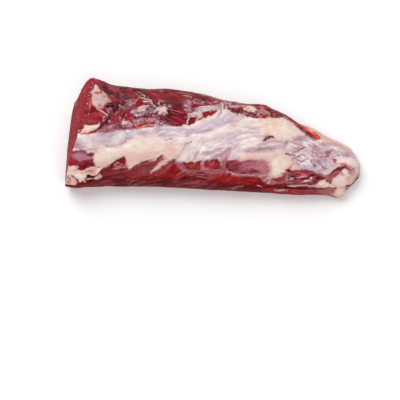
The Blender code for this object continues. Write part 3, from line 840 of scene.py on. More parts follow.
        ("light of those strands", "lavender", 0.8, 0.3, 1.4, 2.0,
         ((201, 107.4), (208, 108.2), (216, 107), (221, 104), (222, 108), (216, 109.6), (206, 109.8))),
        ("white hook by the windows", "pink_fat", 0.7, 0.6, 1.4, 1.2,
         ((188.6, 113), (192, 113.4), (197, 113.4), (200, 116.4), (197.6, 117.4), (193, 116),
          (189.6, 116.4))),
    ),
}

# What is painted after the fat
TOP_PATCHES = (
    ("veil over the ridge's top", "silver", "pearl", 0.6, 0.0, 3.0, 4.0,
     ((98, 146), (112, 147), (124, 143), (133, 137), (144, 134.6), (158, 136), (168, 139.6), (184, 137),
      (184, 141), (168, 143), (156, 140), (144, 139), (134, 140.6), (126, 145.6), (114, 150), (100, 149))),
    ("veil left of the far fat", "silver", "pearl", 0.55, 0.0, 3.0, 6.0,
     ((244, 120), (257, 118), (262, 124), (262, 132), (258, 142), (250, 146), (244, 140))),
    ("milk over the end of the ridge", "silver", "pearl", 0.5, 0.0, 3.0, 4.0,
     ((176, 139), (190, 138), (192, 146), (184, 156), (176, 160), (176, 150))),
    ("red window, upper", "lean", "magenta_lean", 1.0, -1.2, 1.0, 1.0,
     ((191.8, 105.4), (194, 104), (200, 104), (200, 106.4), (196, 107.4), (192.4, 108.2))),
    ("red window, right", "lean", "cherry_lean", 1.0, -1.4, 1.0, 1.0,
     ((202.4, 114.6), (204.4, 111.4), (210, 110.8), (216.6, 111), (214, 113.6), (209, 115.6),
      (203, 117.2))),
    ("red window, left", "lean", "cherry_lean", 1.0, -1.4, 1.0, 1.0,
     ((190, 117), (194.6, 117), (194, 121), (190.6, 124.4), (188, 124))),
    ("red patch, upper", "lean", "lean", 0.45, 0.3, 2.0, 3.0,
     ((134.6, 104), (136.6, 100), (140, 99), (144.5, 101), (145, 105.4), (140, 106.6))),
    ("red patch, lower", "lean", "cherry_lean", 0.35, 0.3, 2.0, 3.0,
     ((124, 114), (128, 112), (133, 114.6), (132, 119.6), (127, 121), (124, 118.6))),
    ("pale flap in the torn part", "silver", "pearl", 0.42, 0.5, 2.0, 1.4,
     ((133, 112.6), (138, 110), (143, 108), (148, 105.6), (147.4, 109), (144, 112), (138, 113.6),
      (134, 114.4))),
    ("light end of that flap", "silver", "pearl", 0.7, 0.3, 2.0, 1.2,
     ((141.6, 109.4), (145, 106.6), (149, 104.8), (148.4, 107.4), (145.6, 110.4), (142, 111.6))),
    ("pale knot by the knob", "silver", "pearl", 0.5, 0.5, 1.6, 1.4,
     ((121, 121), (124, 119), (126, 121), (129, 120.6), (128, 124), (129, 126.4), (125, 126),
      (121.6, 126.4), (122.4, 123.4))),
    ("purple knob of lean", "lean", "plum_lean", 0.9, 1.2, 3.0, 2.4,
     ((111.6, 112), (116, 108.6), (120.6, 111), (120.4, 117), (118, 121.6), (112.6, 120))),
    ("red foot of the knob", "lean", "lean", 0.8, 0.0, 2.0, 2.6,
     ((112.4, 115), (119.6, 115), (118, 121.6), (113, 120.6))),
    ("lavender by the knob", "silver", "mauve", 0.8, 0.4, 1.4, 0.8,
     ((106.8, 109.6), (110, 107.6), (112, 110), (109.6, 112.8), (107, 112))),
    ("rose under the knob", "lean", "rose", 0.5, 0.2, 2.0, 2.6,
     ((108, 125), (116, 124), (120, 127), (116, 131), (109, 130))),
    ("blood by the comma", "blood", "rust_lean", 0.85, -0.6, 2.0, 1.9,
     ((109.6, 97.4), (113, 96), (118, 96.6), (120, 100), (118.6, 104.4), (114, 103), (111.4, 101))),
    ("dark rim of that blood", "hollow", "hollow", 0.9, -0.5, 1.4, 1.3,
     ((115, 96), (118, 95), (121, 99), (119.6, 104), (117, 106), (115.4, 103), (117, 100))),
    # Painted shade in the slits behind the comma, on top of their dent
    ("slits behind the comma", "hollow", "black_blood", 0.95, -1.6, 1.2, 1.0,
     ((105, 105.6), (109, 104.8), (114.4, 105), (116, 107.6), (111, 107), (106, 107.4))),
    ("grey notch of the comma", "hollow", "mauve", 0.6, -0.4, 1.2, 2.0,
     ((98.8, 105.8), (101, 104.4), (103.4, 106.6), (101.4, 108.6), (99, 107.6))),
    ("nick of the comma", "lean", "haze", 0.9, -0.8, 1.0, 1.0,
     ((94, 92.4), (98, 93), (101, 91.8), (101.4, 94.8), (98, 96), (95, 94.6))),
    ("pocket of the ridge", "torn", "lean", 1.0, -1.8, 1.4, 1.1,
     ((111.4, 164.6), (115, 161.6), (120, 159.4), (124.6, 157.2), (125.6, 160.6), (124.6, 163.6),
      (119, 165.6), (113, 167.6))),
    ("cleft in the ridge's foot", "hollow", "plum_lean", 0.9, -1.4, 1.2, 1.1,
     ((157, 158.4), (160.6, 155.8), (163.4, 154.8), (162.6, 156.6), (159.6, 159), (157, 160.6))),
    ("fading end of the great window", "silver", "rose", 0.6, 0.0, 2.0, 4.0,
     ((258, 160), (266, 159), (271, 163), (272, 170), (267, 174), (259, 174), (256, 167))),
    ("frayed foot of the lobe", "silver", "rose", 0.6, 0.1, 2.0, 3.0,
     ((261, 176), (268, 174), (275, 177), (272, 182), (264, 183))),
    ("dark under the slanting fascia", "hollow", "plum_lean", 0.85, -0.8, 1.2, 1.1,
     ((167, 162.6), (171, 160.6), (175, 158.6), (175.6, 161.6), (171, 163))),
    ("blood on the vein", "blood", "blood", 1.0, 0.4, 1.6, 1.0,
     ((305, 129.6), (309, 130.6), (315, 132.4), (319, 136), (320, 139.4), (317, 140.6), (312, 138),
      (307.6, 133.4))),
    ("orange end of the blood", "blood", "orange_blood", 0.9, 0.3, 1.2, 1.1,
     ((315, 136.4), (319, 136.4), (320, 139.6), (317, 140.6))),
    ("spot on the tail", "lean", "purple_lean", 0.9, -0.4, 1.4, 1.3,
     ((324.6, 152), (328, 150.6), (331, 152.6), (327.6, 155))),
    ("rose spot on the tail", "lean", "haze", 0.95, -0.3, 1.2, 1.3,
     ((333, 158), (336.4, 159.4), (335, 163.6), (333, 162))),
    ("mauve folds of the tail end", "silver", "rose", 0.6, -0.3, 1.6, 1.8,
     ((347, 167), (352, 167.4), (354.4, 171), (352.4, 175.6), (349.6, 174), (348.6, 170))),
    ("shade of the tail end", "silver", "mauve", 0.4, -0.2, 2.0, 2.6,
     ((352, 178), (357, 174), (360, 173), (359, 178), (354, 182))),
    ("orange spot on the tail", "blood", "orange_blood", 0.82, 0.5, 1.6, 1.1,
     ((340.4, 165), (344, 163.2), (347.4, 165), (347, 167.6), (343, 167))),
    # Painted shade in the gaps between the flaps of fat at the corner, in this row and the next
    ("dark gap by the far flap", "hollow", "black_blood", 0.95, -1.6, 1.2, 1.0,
     ((86.4, 176), (90, 174.8), (96, 175), (93, 177.6), (88, 178))),
    ("dark gap by the small lobe", "hollow", "black_blood", 0.95, -1.4, 1.0, 1.0,
     ((87, 180.4), (92, 179.4), (95, 180.8), (90, 182.4))),
)

# Lines that narrow to their ends: (name, tissue, colour, cover, rise, half width, points)
STROKES = (
    ("rim above the comma", "hollow", "dark_lean", 0.7, -0.6, 0.9,
     ((97, 81), (99.4, 86), (101.6, 90.4), (105, 91.8), (109, 95.4))),
    ("pale line by the cut edge", "fat", "rose", 0.8, 0.3, 0.5, ((91.4, 99), (90.6, 104), (89.6, 110))),
    ("tail of the comma", "fat", "pink_fat", 0.95, 0.8, 0.6,
     ((92.6, 101), (96, 106), (100, 110), (104, 112.4), (108, 116))),
    # Painted shade in the slits, in this row and the next
    ("black slit down", "hollow", "black_blood", 0.95, -1.4, 0.8,
     ((112, 106.6), (113.6, 109), (114.6, 111))),
    ("slit under the comma", "hollow", "black_blood", 0.95, -1.4, 1.0,
     ((96, 129.2), (99.6, 127.2), (102.4, 124.8), (105, 122), (108.6, 121))),
    ("crease over the wedge", "hollow", "hollow", 0.8, -0.8, 0.6,
     ((86, 124), (92, 123), (98, 122.4), (103, 119.6))),
    ("red line under the wedge", "blood", "blood", 0.9, -0.4, 0.7, ((81, 134), (86, 133.5), (91, 132))),
    ("right edge of the knob", "fat", "rose", 0.8, 0.5, 0.5, ((121.6, 111.6), (121, 115), (119.8, 120.6))),
    ("dark by the knob", "hollow", "hollow", 0.8, -0.9, 0.8, ((123.4, 112), (122.4, 116), (121, 122))),
    ("dark under the lavender band", "hollow", "plum_lean", 0.85, -0.7, 0.7,
     ((132, 114.6), (138, 112.6), (145, 111.6), (151, 113.6))),
    ("white line under the band", "silver", "pearl", 0.9, 0.6, 0.6,
     ((134, 114.6), (138, 115.6), (144, 114.6))),
    ("white line over the band", "fat", "pink_fat", 0.95, 0.9, 0.9,
     ((138, 109), (143, 107.6), (148.4, 105.4))),
    ("upper scribble", "fat", "pink_fat", 0.95, 0.8, 0.55,
     ((139, 96), (141, 98.6), (145, 99.6), (149, 99.4), (152, 100.6))),
    ("lower scribble", "fat", "pink_fat", 0.95, 0.8, 0.6,
     ((144, 102.6), (147.6, 102), (150.6, 102.2), (153, 104))),
    ("pale line to the scribble", "silver", "rose", 0.8, 0.4, 0.6,
     ((136.6, 91.4), (140, 93.4), (143, 95.6))),
    ("black in the band", "hollow", "plum_lean", 0.9, -0.8, 0.9,
     ((147.6, 109.6), (148.6, 107.4), (150.4, 105.4))),
    ("arc in the hollow", "silver", "haze", 0.7, 0.5, 0.4,
     ((167.6, 107.4), (170, 109.4), (173.6, 111.6), (178, 112.6), (184, 113.2))),
    # Painted shade beside the arc, deep in the hollow
    ("black by the arc", "hollow", "black_blood", 0.95, -1.0, 0.9,
     ((166.8, 109.4), (168.6, 110.2), (170, 111))),
    ("rose shred", "silver", "rose", 0.85, 0.7, 1.2, ((159.6, 99.6), (162.6, 101), (165, 103))),
    ("first spike of the white mass", "silver", "pearl", 0.8, 0.4, 0.5,
     ((165, 107), (168.6, 105.4), (171.4, 105))),
    ("second spike of the white mass", "silver", "pearl", 0.8, 0.4, 0.5,
     ((158.6, 112.6), (155.6, 115), (152.6, 115.4))),
    ("third spike of the white mass", "silver", "pearl", 0.7, 0.4, 0.5,
     ((160.6, 107), (159, 103.4), (159.6, 101))),
    ("light fibre one", "silver", "rose", 0.8, 0.3, 0.45, ((176, 92.2), (184, 93.4), (194, 95))),
    ("light fibre two", "silver", "peach", 0.85, 0.3, 0.5, ((183, 95.8), (187, 96.2), (191, 96.8))),
    ("dark fibre one", "hollow", "dark_lean", 0.7, -0.3, 0.5,
     ((150, 90.6), (164, 92.6), (176, 94.4), (190, 97.6))),
    ("dark fibre two", "hollow", "dark_lean", 0.7, -0.3, 0.6, ((186, 94.6), (194, 96.2), (200, 98))),
    ("grey film, far edge", "silver", "grey_silver", 0.5, 0.3, 0.9,
     ((203, 95), (212, 96.8), (222, 98.9), (234, 101.6), (246, 104.4))),
    ("pink tissue, far edge", "silver", "rose", 0.8, 0.6, 0.9, ((224, 102), (228, 103), (232, 103))),
    ("dark by the peak", "hollow", "plum_lean", 0.8, -0.8, 1.0, ((228, 107.6), (231, 109.4), (233, 112.4))),
    ("dark under the fan", "hollow", "dark_lean", 0.8, -0.8, 0.7, ((245, 112), (250, 113.4), (255, 113))),
    ("dark by the bump", "hollow", "dark_lean", 0.85, -0.8, 0.7,
     ((257.6, 109.6), (256.4, 112), (253, 115))),
    ("bar of the peak", "silver", "pearl", 0.6, 0.3, 0.8, ((223, 103.6), (224, 108), (223, 114))),
    ("dark between the bars", "silver", "violet", 0.8, -0.4, 0.6, ((220.4, 108), (220, 112), (217, 116))),
    ("white line left of the red window", "fat", "pink_fat", 0.95, 0.7, 0.8,
     ((189.4, 116.4), (188.4, 120), (187, 124))),
    ("peach edge of the red window", "fat", "peach", 0.9, 0.5, 0.9,
     ((198.4, 117), (197, 119.6), (194.4, 122))),
    ("dark foot of the red window", "hollow", "hollow", 0.7, -0.4, 0.7,
     ((187.6, 124.8), (189, 122.6), (190, 119))),
    ("orange fleck", "blood", "orange_blood", 0.95, 0.5, 1.2, ((137, 127.8), (141, 127.2), (145, 126.6))),
    ("coral fleck", "blood", "coral", 0.9, 0.4, 0.9, ((143, 126.6), (148, 125.2), (153, 124.2))),
    ("dark by the orange fleck", "hollow", "dark_lean", 0.8, -0.5, 0.6,
     ((137, 126), (142, 124.8), (148, 124))),
    ("olive line under the fleck", "hollow", "umber", 0.7, -0.4, 0.5,
     ((130, 129.6), (135, 129.4), (139, 128.6))),
    # Painted shade: in this row and the next, dark lines along the ridge's upper edge
    ("dark line over the ridge", "silver", "mauve", 0.9, -0.7, 0.6,
     ((164, 140), (168, 140.2), (173, 138.6))),
    ("line over the ridge", "silver", "violet", 0.85, -0.6, 0.8,
     ((104, 145), (112, 147.2), (120, 145.4), (126, 140.6), (133, 136.6))),
    ("crack in the ridge, open end", "hollow", "slate", 0.95, -1.4, 0.6,
     ((184.4, 145), (188, 142.6), (192.8, 140.6))),
    ("crack in the ridge", "silver", "mauve", 0.7, -0.6, 0.5,
     ((184.6, 145.4), (183.2, 150), (180.4, 154.4), (177.4, 158.4), (174.6, 160.6))),
    ("thread in the pocket", "fat", "pink_fat", 0.9, 0.7, 0.45,
     ((113, 165.6), (116, 163.6), (119.6, 162.8))),
    ("lower thread in the pocket", "fat", "rose", 0.8, 0.6, 0.4, ((114, 167), (119, 165.6), (123, 164))),
    ("shade over the pocket", "hollow", "black_blood", 0.8, -0.9, 0.5,
     ((111, 164.6), (116, 160.8), (121, 158.4), (125, 157))),
    ("dark by the tongue", "hollow", "hollow", 0.8, -0.6, 0.6, ((118, 169.6), (124, 167.6), (128, 168.8))),
    ("peach foot of the fan", "fat", "peach", 0.8, 0.3, 0.8, ((186, 162.6), (190, 161), (195, 162))),
    # Painted highlights along fibres under window one, in this row and the next
    ("fibre under window one", "lean", "haze", 0.8, 0.3, 0.5,
     ((176, 178), (182, 175.4), (188, 173.8), (193, 173.8))),
    ("second fibre there", "lean", "rose", 0.7, 0.3, 0.4, ((177, 175), (182, 171.6), (187, 170.2))),
    # Painted shadow: a dark band by the low edge, where the second piece, which is not built, cast its shade
    ("dark band, low", "hollow", "hollow", 0.75, -0.7, 1.5,
     ((182, 179), (190, 178.4), (200, 178.6), (208, 180))),
    # Painted shade under the thread
    ("dark under the thread", "hollow", "black_blood", 0.85, -0.8, 0.8,
     ((195, 173.6), (200, 172.6), (206, 173.2))),
    # Painted shade beside the far flap
    ("dark right of the far flap", "hollow", "hollow", 0.9, -0.8, 0.7,
     ((104.4, 167.2), (101.6, 170.6), (97.6, 173.6), (96, 176))),
    ("fold of the rolled lobe", "hollow", "umber", 0.85, -0.9, 0.5,
     ((66, 176.6), (69, 178.4), (71.4, 181.4))),
    ("second fold of the rolled lobe", "hollow", "umber", 0.75, -0.7, 0.45,
     ((64.6, 179), (68, 180.6), (70.4, 183))),
    # Painted shade under the white flap
    ("dark under the white flap", "hollow", "hollow", 0.85, -0.8, 0.7,
     ((71, 175), (74, 177.6), (77, 180.6), (79, 183), (82, 182.6))),
    ("fold of the light flap", "hollow", "umber", 0.6, -0.6, 0.5, ((68, 169.6), (72, 170.6), (77, 170))),
    ("fold of the far flap", "hollow", "umber", 0.6, -0.6, 0.5, ((84, 172), (88, 170.6), (92, 170.8))),
    ("slit by the lobe", "hollow", "bright_lean", 0.9, -0.6, 0.45,
     ((293.6, 162.6), (291, 165.6), (289, 169), (285.4, 173.2))),
    ("vein mark one", "lean", "purple_lean", 0.9, -0.5, 0.7,
     ((287.4, 141.6), (286.6, 143.6), (285.8, 145.4))),
    ("vein mark two", "lean", "mauve", 0.7, -0.6, 0.6,
     ((292, 152.6), (298, 150.6), (303, 148.4), (306, 147.6))),
    ("vein mark three", "lean", "haze", 0.9, -0.6, 1.0, ((287.6, 153.6), (291, 154.6), (295, 155))),
    # Painted shade on the notch's low wall, on top of its dent
    ("slit of the notch", "lean", "plum_lean", 1.0, -0.9, 1.3,
     ((262, 140), (266, 138.4), (270, 137), (274, 137.2))),
    ("line under the great window", "silver", "pink_fat", 0.75, 0.3, 0.6,
     ((226, 172), (236, 174.6), (246, 175.6), (256, 174.6), (262, 176.4))),
    ("first fibre of the lobe's foot", "silver", "pearl", 0.8, 0.2, 0.5,
     ((268, 177), (265, 180), (262, 181.4))),
    ("second fibre of the lobe's foot", "silver", "pearl", 0.7, 0.2, 0.5,
     ((271, 178), (269.6, 181), (267, 183.4))),
    ("third fibre of the lobe's foot", "silver", "pearl", 0.7, 0.2, 0.5,
     ((266, 174.6), (262.4, 176.2), (258.6, 177))),
    ("dark spot by the swirl", "hollow", "plum_lean", 0.9, -0.7, 0.8, ((285.6, 153.6), (288, 153.4))),
    ("lilac lines one", "lean", "mauve", 0.8, -0.2, 0.5, ((293, 138.2), (299, 137.4), (304, 137.8))),
    ("lilac lines two", "lean", "mauve", 0.75, -0.2, 0.5, ((292, 140.6), (298, 140), (304, 140.6))),
    ("swirl", "lean", "mauve", 0.75, -0.7, 0.8, ((295, 157), (297.6, 160.6), (303, 161.8), (307.6, 160))),
    ("upper swirl", "lean", "plum_lean", 0.6, -0.6, 0.6,
     ((296, 156), (300, 154.6), (304, 155.6), (305.6, 157.6))),
    ("mauve fold on the tail", "lean", "mauve", 0.9, -0.5, 0.8,
     ((312, 151), (316, 153.6), (318, 156.6), (323, 156.8), (330, 155.6))),
    ("ring of the knot", "lean", "mauve", 0.8, -0.4, 0.6,
     ((319, 159), (320, 164), (324, 168), (328, 167.6))),
    ("grey eye", "hollow", "plum_lean", 0.8, -0.6, 0.9, ((314, 164.6), (315.6, 166.8))),
    ("violet line", "silver", "mauve", 0.85, -0.5, 0.7, ((338, 154.6), (343, 156), (350, 157.8))),
    ("upper fold of the tail", "silver", "slate", 0.45, -0.4, 0.6,
     ((324, 143), (331, 144), (338, 145.6), (345, 149))),
    ("dark band on the tail", "hollow", "plum_lean", 0.95, -1.0, 1.2,
     ((329, 175), (334, 172), (339, 169.4), (346, 167.6))),
    ("rose gap on the tail", "lean", "haze", 0.7, -0.5, 0.8,
     ((348.4, 169.6), (351, 170.6), (352.6, 168.6))),
    # Painted shade in the cleft
    ("black cleft", "hollow", "black_blood", 0.95, -1.2, 0.6,
     ((326.6, 180.4), (329, 181.4), (330.8, 183.4), (331.6, 181))),
    # Painted glints on the wet lean before the tail, in this row and the next two
    ("streak one before the tail", "silver", "rose", 0.9, 0.5, 0.6, ((297, 178), (302, 176.8), (308, 177))),
    ("streak two before the tail", "silver", "pearl", 0.9, 0.6, 0.6,
     ((303, 182), (307, 181), (310.6, 180.6))),
    ("glint before the tail", "silver", "white", 0.95, 0.5, 0.7, ((310.6, 178.4), (311.6, 179.6))),
    ("mauve by the slit", "silver", "mauve", 0.9, 0.5, 1.3, ((287, 178.6), (288.6, 175.4), (290.4, 173.6))),
    ("lavender under the mauve", "silver", "lavender", 0.85, 0.4, 0.9,
     ((285.4, 180), (289, 179.6), (293, 177.6))),
    # Painted shade in the crease under the tail, on top of its dent
    ("dark crease under the tail", "hollow", "black_blood", 0.95, -1.2, 0.7,
     ((272, 189.4), (285, 189), (300, 188.6), (318, 188.8), (336, 188.2))),
    ("upper dark crease", "hollow", "dark_lean", 0.7, -0.7, 0.6,
     ((272, 186.6), (283, 184.6), (296, 184.8))),
    ("white strip under the crease", "fat", "rose", 0.9, 0.6, 0.6,
     ((274, 191.2), (281, 190.6), (288, 190.8))),
    ("tail rim", "hollow", "dark_lean", 0.95, -0.7, 1.0,
     ((345.6, 186.4), (351.6, 183.2), (356.4, 179.4), (359, 176.4))),
    ("dark edge of the blood", "hollow", "dark_lean", 0.9, -0.6, 0.6,
     ((302, 129.6), (307, 134.6), (312, 139), (316, 141.2))),
    ("light in the blood", "blood", "coral", 0.9, 0.3, 0.4, ((309, 131.8), (313, 134.2), (317, 137.4))),
)

# Small shreds and specks strewn by chance: (name, count, seed, reach from the streaks in
# degrees, lengths, half widths, kinds, outline). A kind is (tissue, colour, cover, rise, weight).
TORN_KINDS = (
    ("hollow", "hollow", 0.7, -0.6, 4),
    ("torn", "dark_lean", 0.75, -0.6, 5),
    ("torn", "grey_lean", 0.7, -0.1, 3),
    ("torn", "bright_lean", 0.5, 0.2, 2),
    ("silver", "mauve", 0.4, 0.2, 3),
    ("silver", "rose", 0.45, 0.3, 3),
)
FRAGMENT_KINDS = (
    ("silver", "lavender", 0.8, 0.2, 3),
    ("silver", "rose", 0.8, 0.2, 3),
    ("fat", "pink_fat", 0.8, 0.3, 3),
    ("silver", "violet", 0.8, 0.2, 2),
    ("hollow", "hollow", 0.8, -0.4, 4),
    ("torn", "dark_lean", 0.8, -0.4, 4),
    ("torn", "bright_lean", 0.5, 0.1, 2),
)
LEAN_KINDS = (
    ("lean", "haze", 0.5, 0.12, 4),
    ("lean", "dark_lean", 0.45, -0.2, 3),
    ("lean", "bright_lean", 0.5, 0.1, 3),
    ("silver", "rose", 0.35, 0.12, 1),
)
SILVER_KINDS = (
    ("silver", "white", 0.5, 0.15, 4),
    ("silver", "violet", 0.35, -0.15, 3),
    ("silver", "rose", 0.3, -0.1, 2),
    ("silver", "blue_silver", 0.4, 0.05, 2),
)
TAIL_KINDS = (
    ("silver", "white", 0.6, 0.25, 4),
    ("silver", "mauve", 0.5, -0.3, 4),
    ("silver", "violet", 0.5, -0.2, 3),
    ("silver", "blue_silver", 0.5, 0.15, 2),
    ("lean", "purple_lean", 0.4, -0.3, 1),
    ("silver", "rose", 0.5, 0.1, 2),
)
STREWN = (
    ("torn part, left", 110, 1, 50, (1.6, 5.0), (0.25, 0.7), TORN_KINDS,
     ((104, 97), (120, 95), (140, 96), (160, 98), (168, 104), (166, 118), (150, 124), (124, 128),
      (106, 124), (112, 112))),
    ("fragments in the torn part", 100, 21, 70, (0.9, 2.6), (0.3, 0.75), FRAGMENT_KINDS,
     ((120, 98), (136, 95), (152, 98), (160, 104), (158, 120), (146, 126), (130, 128), (120, 122))),
    ("fragments by the knob", 40, 22, 70, (0.9, 2.2), (0.3, 0.7), FRAGMENT_KINDS,
     ((104, 108), (112, 106), (122, 110), (122, 126), (110, 128), (103, 120))),
    ("fragments by the red window", 50, 23, 60, (0.9, 2.6), (0.3, 0.8), FRAGMENT_KINDS,
     ((184, 99), (204, 99), (222, 103), (220, 110), (204, 116), (190, 124), (184, 114))),
    ("fragments on the far edge", 60, 24, 30, (0.9, 2.8), (0.3, 0.7), FRAGMENT_KINDS,
     ((224, 102), (244, 105), (268, 109), (284, 115), (262, 117), (240, 116))),
    ("torn part, right", 20, 2, 50, (2.0, 6.0), (0.4, 1.2), TORN_KINDS,
     ((188, 100), (202, 99), (202, 112), (192, 120), (188, 112))),
    ("far edge", 70, 3, 26, (1.6, 6.0), (0.3, 0.9), TORN_KINDS,
     ((204, 99), (240, 105), (268, 109), (284, 116), (262, 117), (236, 112), (210, 105))),
    ("red pit", 8, 4, 60, (1.4, 4.0), (0.3, 0.9), TORN_KINDS, ((77, 162), (92, 161), (93, 166), (80, 168))),
    ("corner gaps", 8, 5, 60, (1.4, 4.0), (0.3, 0.9), TORN_KINDS,
     ((86, 175), (104, 170), (112, 172), (104, 180), (88, 182))),
    ("before the tail", 34, 6, 18, (3.0, 9.0), (0.4, 1.1), TORN_KINDS,
     ((288, 177), (302, 171.6), (320, 175.6), (328, 179), (312, 184), (290, 184))),
    ("shoulder", 40, 7, 50, (1.5, 5.0), (0.3, 1.0), LEAN_KINDS,
     ((86, 98), (92, 104), (104, 114), (106, 121), (86, 125))),
    ("grey lean", 46, 8, 12, (4.0, 12.0), (0.4, 1.3), LEAN_KINDS,
     ((98, 80), (125, 88), (160, 89), (220, 100), (200, 100), (150, 97), (112, 95))),
    ("lower lean", 130, 9, 5, (6.0, 16.0), (0.3, 0.8), LEAN_KINDS,
     ((100, 169), (140, 166), (200, 163), (262, 161), (284, 178), (284, 192), (200, 192), (100, 188))),
    ("silver band", 120, 10, 10, (4.0, 16.0), (0.4, 1.3), SILVER_KINDS,
     ((76, 136), (120, 131), (176, 127), (224, 113), (262, 120), (262, 142), (286, 143), (282, 151),
      (240, 152), (222, 158), (190, 159), (178, 156), (190, 140), (160, 136), (130, 136), (96, 146),
      (76, 148))),
    ("tail", 110, 11, 36, (2.5, 9.0), (0.5, 1.5), TAIL_KINDS,
     ((288, 138), (302, 134), (318, 140), (346, 151), (358, 164), (344, 166), (322, 172), (300, 168),
      (292, 158))),
)

# Which way the streaks run: (u, v, degrees up from the right)
STREAKS = (
    (75, 140, 6), (95, 140, 2), (115, 138, 14), (135, 133, 14), (150, 130, 8), (176, 130, 4),
    (200, 134, 14), (218, 124, 34), (224, 110, 78), (236, 132, 28), (240, 124, 10), (270, 122, 4),
    (192, 155, 75), (183, 157, 66), (204, 156, 80), (180, 155, 62), (165, 166, 42), (215, 151, 14),
    (226, 164, 84), (248, 166, 2), (262, 146, 6), (285, 145, -4), (272, 157, 8), (300, 138, 2),
    (298, 148, 18), (300, 158, -30), (312, 156, -50), (324, 162, 60), (330, 150, -8), (345, 155, -14),
    (345, 162, 8), (312, 168, 10), (300, 178, 6), (320, 180, 10), (120, 170, 8), (104, 152, 4),
    (140, 145, 12), (140, 158, 30), (170, 150, 40), (170, 92, -8), (200, 97, -12), (240, 104, -12),
    (130, 90, -4), (100, 88, -40), (100, 116, -20), (92, 104, 80), (118, 114, 60), (140, 110, 12),
    (175, 112, -30), (150, 170, 10), (200, 176, 4), (250, 178, -2), (282, 184, 4), (300, 193, 0),
    (80, 154, 10), (90, 164, 20),
)

# What each tissue is like: (fat, silverskin, torn, wet), each from 0 to 1
TISSUES = {
    "lean": (0.0, 0.0, 0.0, 0.35),
    "torn": (0.0, 0.0, 1.0, 0.7),
    "silver": (0.0, 1.0, 0.0, 0.45),
    "fat": (1.0, 0.0, 0.0, 0.25),
    "blood": (0.0, 0.0, 0.3, 1.0),
    "hollow": (0.0, 0.0, 0.5, 0.6),
}
# How the painting is laid
STROKE_EDGE = 0.7  # a stroke's colour fades over this much, each way
TAPER = 0.16  # share of a stroke's length that each end narrows over
WANDER = ((0.0075, 0.9), (0.0028, 0.7), (0.0013, 0.42))  # (lump size, reach in picture units)
WANDER_SEED = 20
# How far the streaks pull a patch's edge, and how much of a row's rise each tissue takes
FEATHER = {"silver": 0.45, "fat": 0.35, "lean": 0.3, "torn": 0.5, "hollow": 0.3, "blood": 0.3}
RISE_SHARE = {"silver": 0.5, "fat": 0.6, "lean": 0.6, "torn": 0.6, "hollow": 0.6, "blood": 0.8}
FEATHER_STREAKS = (0.0, 0.35, 0.25)
BREAK = 0.7  # how far holes break up what lies on torn meat
HOLE_SPAN = (0.05, 0.65)  # the noise over which a hole opens
STEEPEST = 0.3  # a patch stands out by at most this share of its slope
FACING_START = 0.03  # the skin is painted from the picture where it faces it by this much
FACING_FULL = 0.14  # and fully where it faces it by this much
TURN_FACING = 0.3  # the streaks' angle turns level where the skin faces the picture less
STEADY_FACING = 2.2  # outlines wander less where the skin turns away
LEAST_WANDER = 0.15
STROKE_MARGIN = 1.5  # a stroke reaches this far past its half width
STROKE_ENDS = 0.35  # the share of a stroke's width that its ends keep
STREWN_BEND = 0.12  # how far strewn strokes bend, as a share of half their length
STREWN_TRIES = 8  # places are tried this many times over, as only some lie in the outline
STREAK_SEED = 31
STREAK_STEP = 0.45
SHORTEST_CELL = 0.25
STREAK_SCALES = ((30.0, 2.4), (16.0, 1.1), (8.0, 0.55))  # (length, grain) of each set of streaks
GUIDE_REACH = 16.0
GUIDE_POWER = -1.5
FAT_STEP = 0.1  # how thick the fat's edge stands
FAT_TINT = (0.3, 3.2)  # the pink of the fat's edge ends over this depth
FAT_TINT_SHARE = 0.75
SILVER_TONES = (
    (0.0, (178, 148, 160)), (0.3, (208, 188, 196)), (0.6, (230, 214, 216)),
    (0.85, (247, 238, 237)), (1.0, (255, 252, 250)),
)
SILVER_TONE_MIDDLE = 0.6
BRIGHTEST = 0.97

# How the layers are cut
LAYER_STEP = 0.02  # layers never lie in the same place: each is at least this far below the next
DIP = 0.10  # how far a layer's edge dips before it sinks for good
DIP_SPAN = (0.2, 0.5)  # the cover over which it dips
SINK_SPAN = (0.0, 0.3)  # and over which it sinks
FAT_THINNEST = 0.3
LEAST_COVER = 0.004
MARGIN_CELLS = 4  # what lies under a layer is lowered only this far inside the layer's edge
SHEET_EDGE = 1.5  # a sheet's cover grows over this depth
START_SPAN = (0.3, 1.8)  # layers begin over this stretch from the cut end
FAT_SPAN = (0.0, 0.9)  # the painted fat over which its piece begins
TISSUE_SPAN = (0.15, 0.6)  # the same for silverskin
TIP_STATIONS = 8  # relief and colour fade out over the tail's last stations
TIP_RINGS = 5  # and are gone this many rings before the end

# Noise in layers: (height, size of the lumps in metres, seed)
HOLE_NOISE = ((1.0, 0.0024, 84), (0.7, 0.0012, 85))
LUMP_NOISE = ((0.50, 0.012, 51), (0.26, 0.006, 52), (0.09, 0.0022, 53))
TEAR_RIDGES = ((0.6, 0.0065, 54), (0.28, 0.0028, 55))
FOLD_NOISE = ((0.20, 0.011, 56),)
SPECK_NOISE = ((1.0, 0.0022, 77), (0.6, 0.0011, 78))
FINE_NOISE = ((1.0, 0.003, 75), (0.5, 0.0014, 76))
DRAWN = (0.6, 1, 1)  # draws lumps out along the muscle
LONG_DRAWN = (0.35, 1, 1)

# Heights in millimetres that the long, middle and short streaks give
FOLD_STREAKS = (0.12, 0.06, 0.02)
FIBRE_STREAKS = (0.10, 0.14, 0.11)
FAT_STREAKS = (0.0, 0.0, 0.04)
TORN_STREAKS = (0.0, 0.15, 0.0)
CREASE_DEPTH = 0.14
CREASE_WIDTH = 0.10

# Shares that they have in the silverskin's tone and in the tints
TONE_STREAKS = (0.09, 0.07, 0.035)
DRIVE_STREAKS = {
    "broad streaks": (0.3, 1.0, 0.6),
    "fine streaks": (0.3, 0.6, 1.0),
    "deep streaks": (0.4, 0.6, 1.0),
}

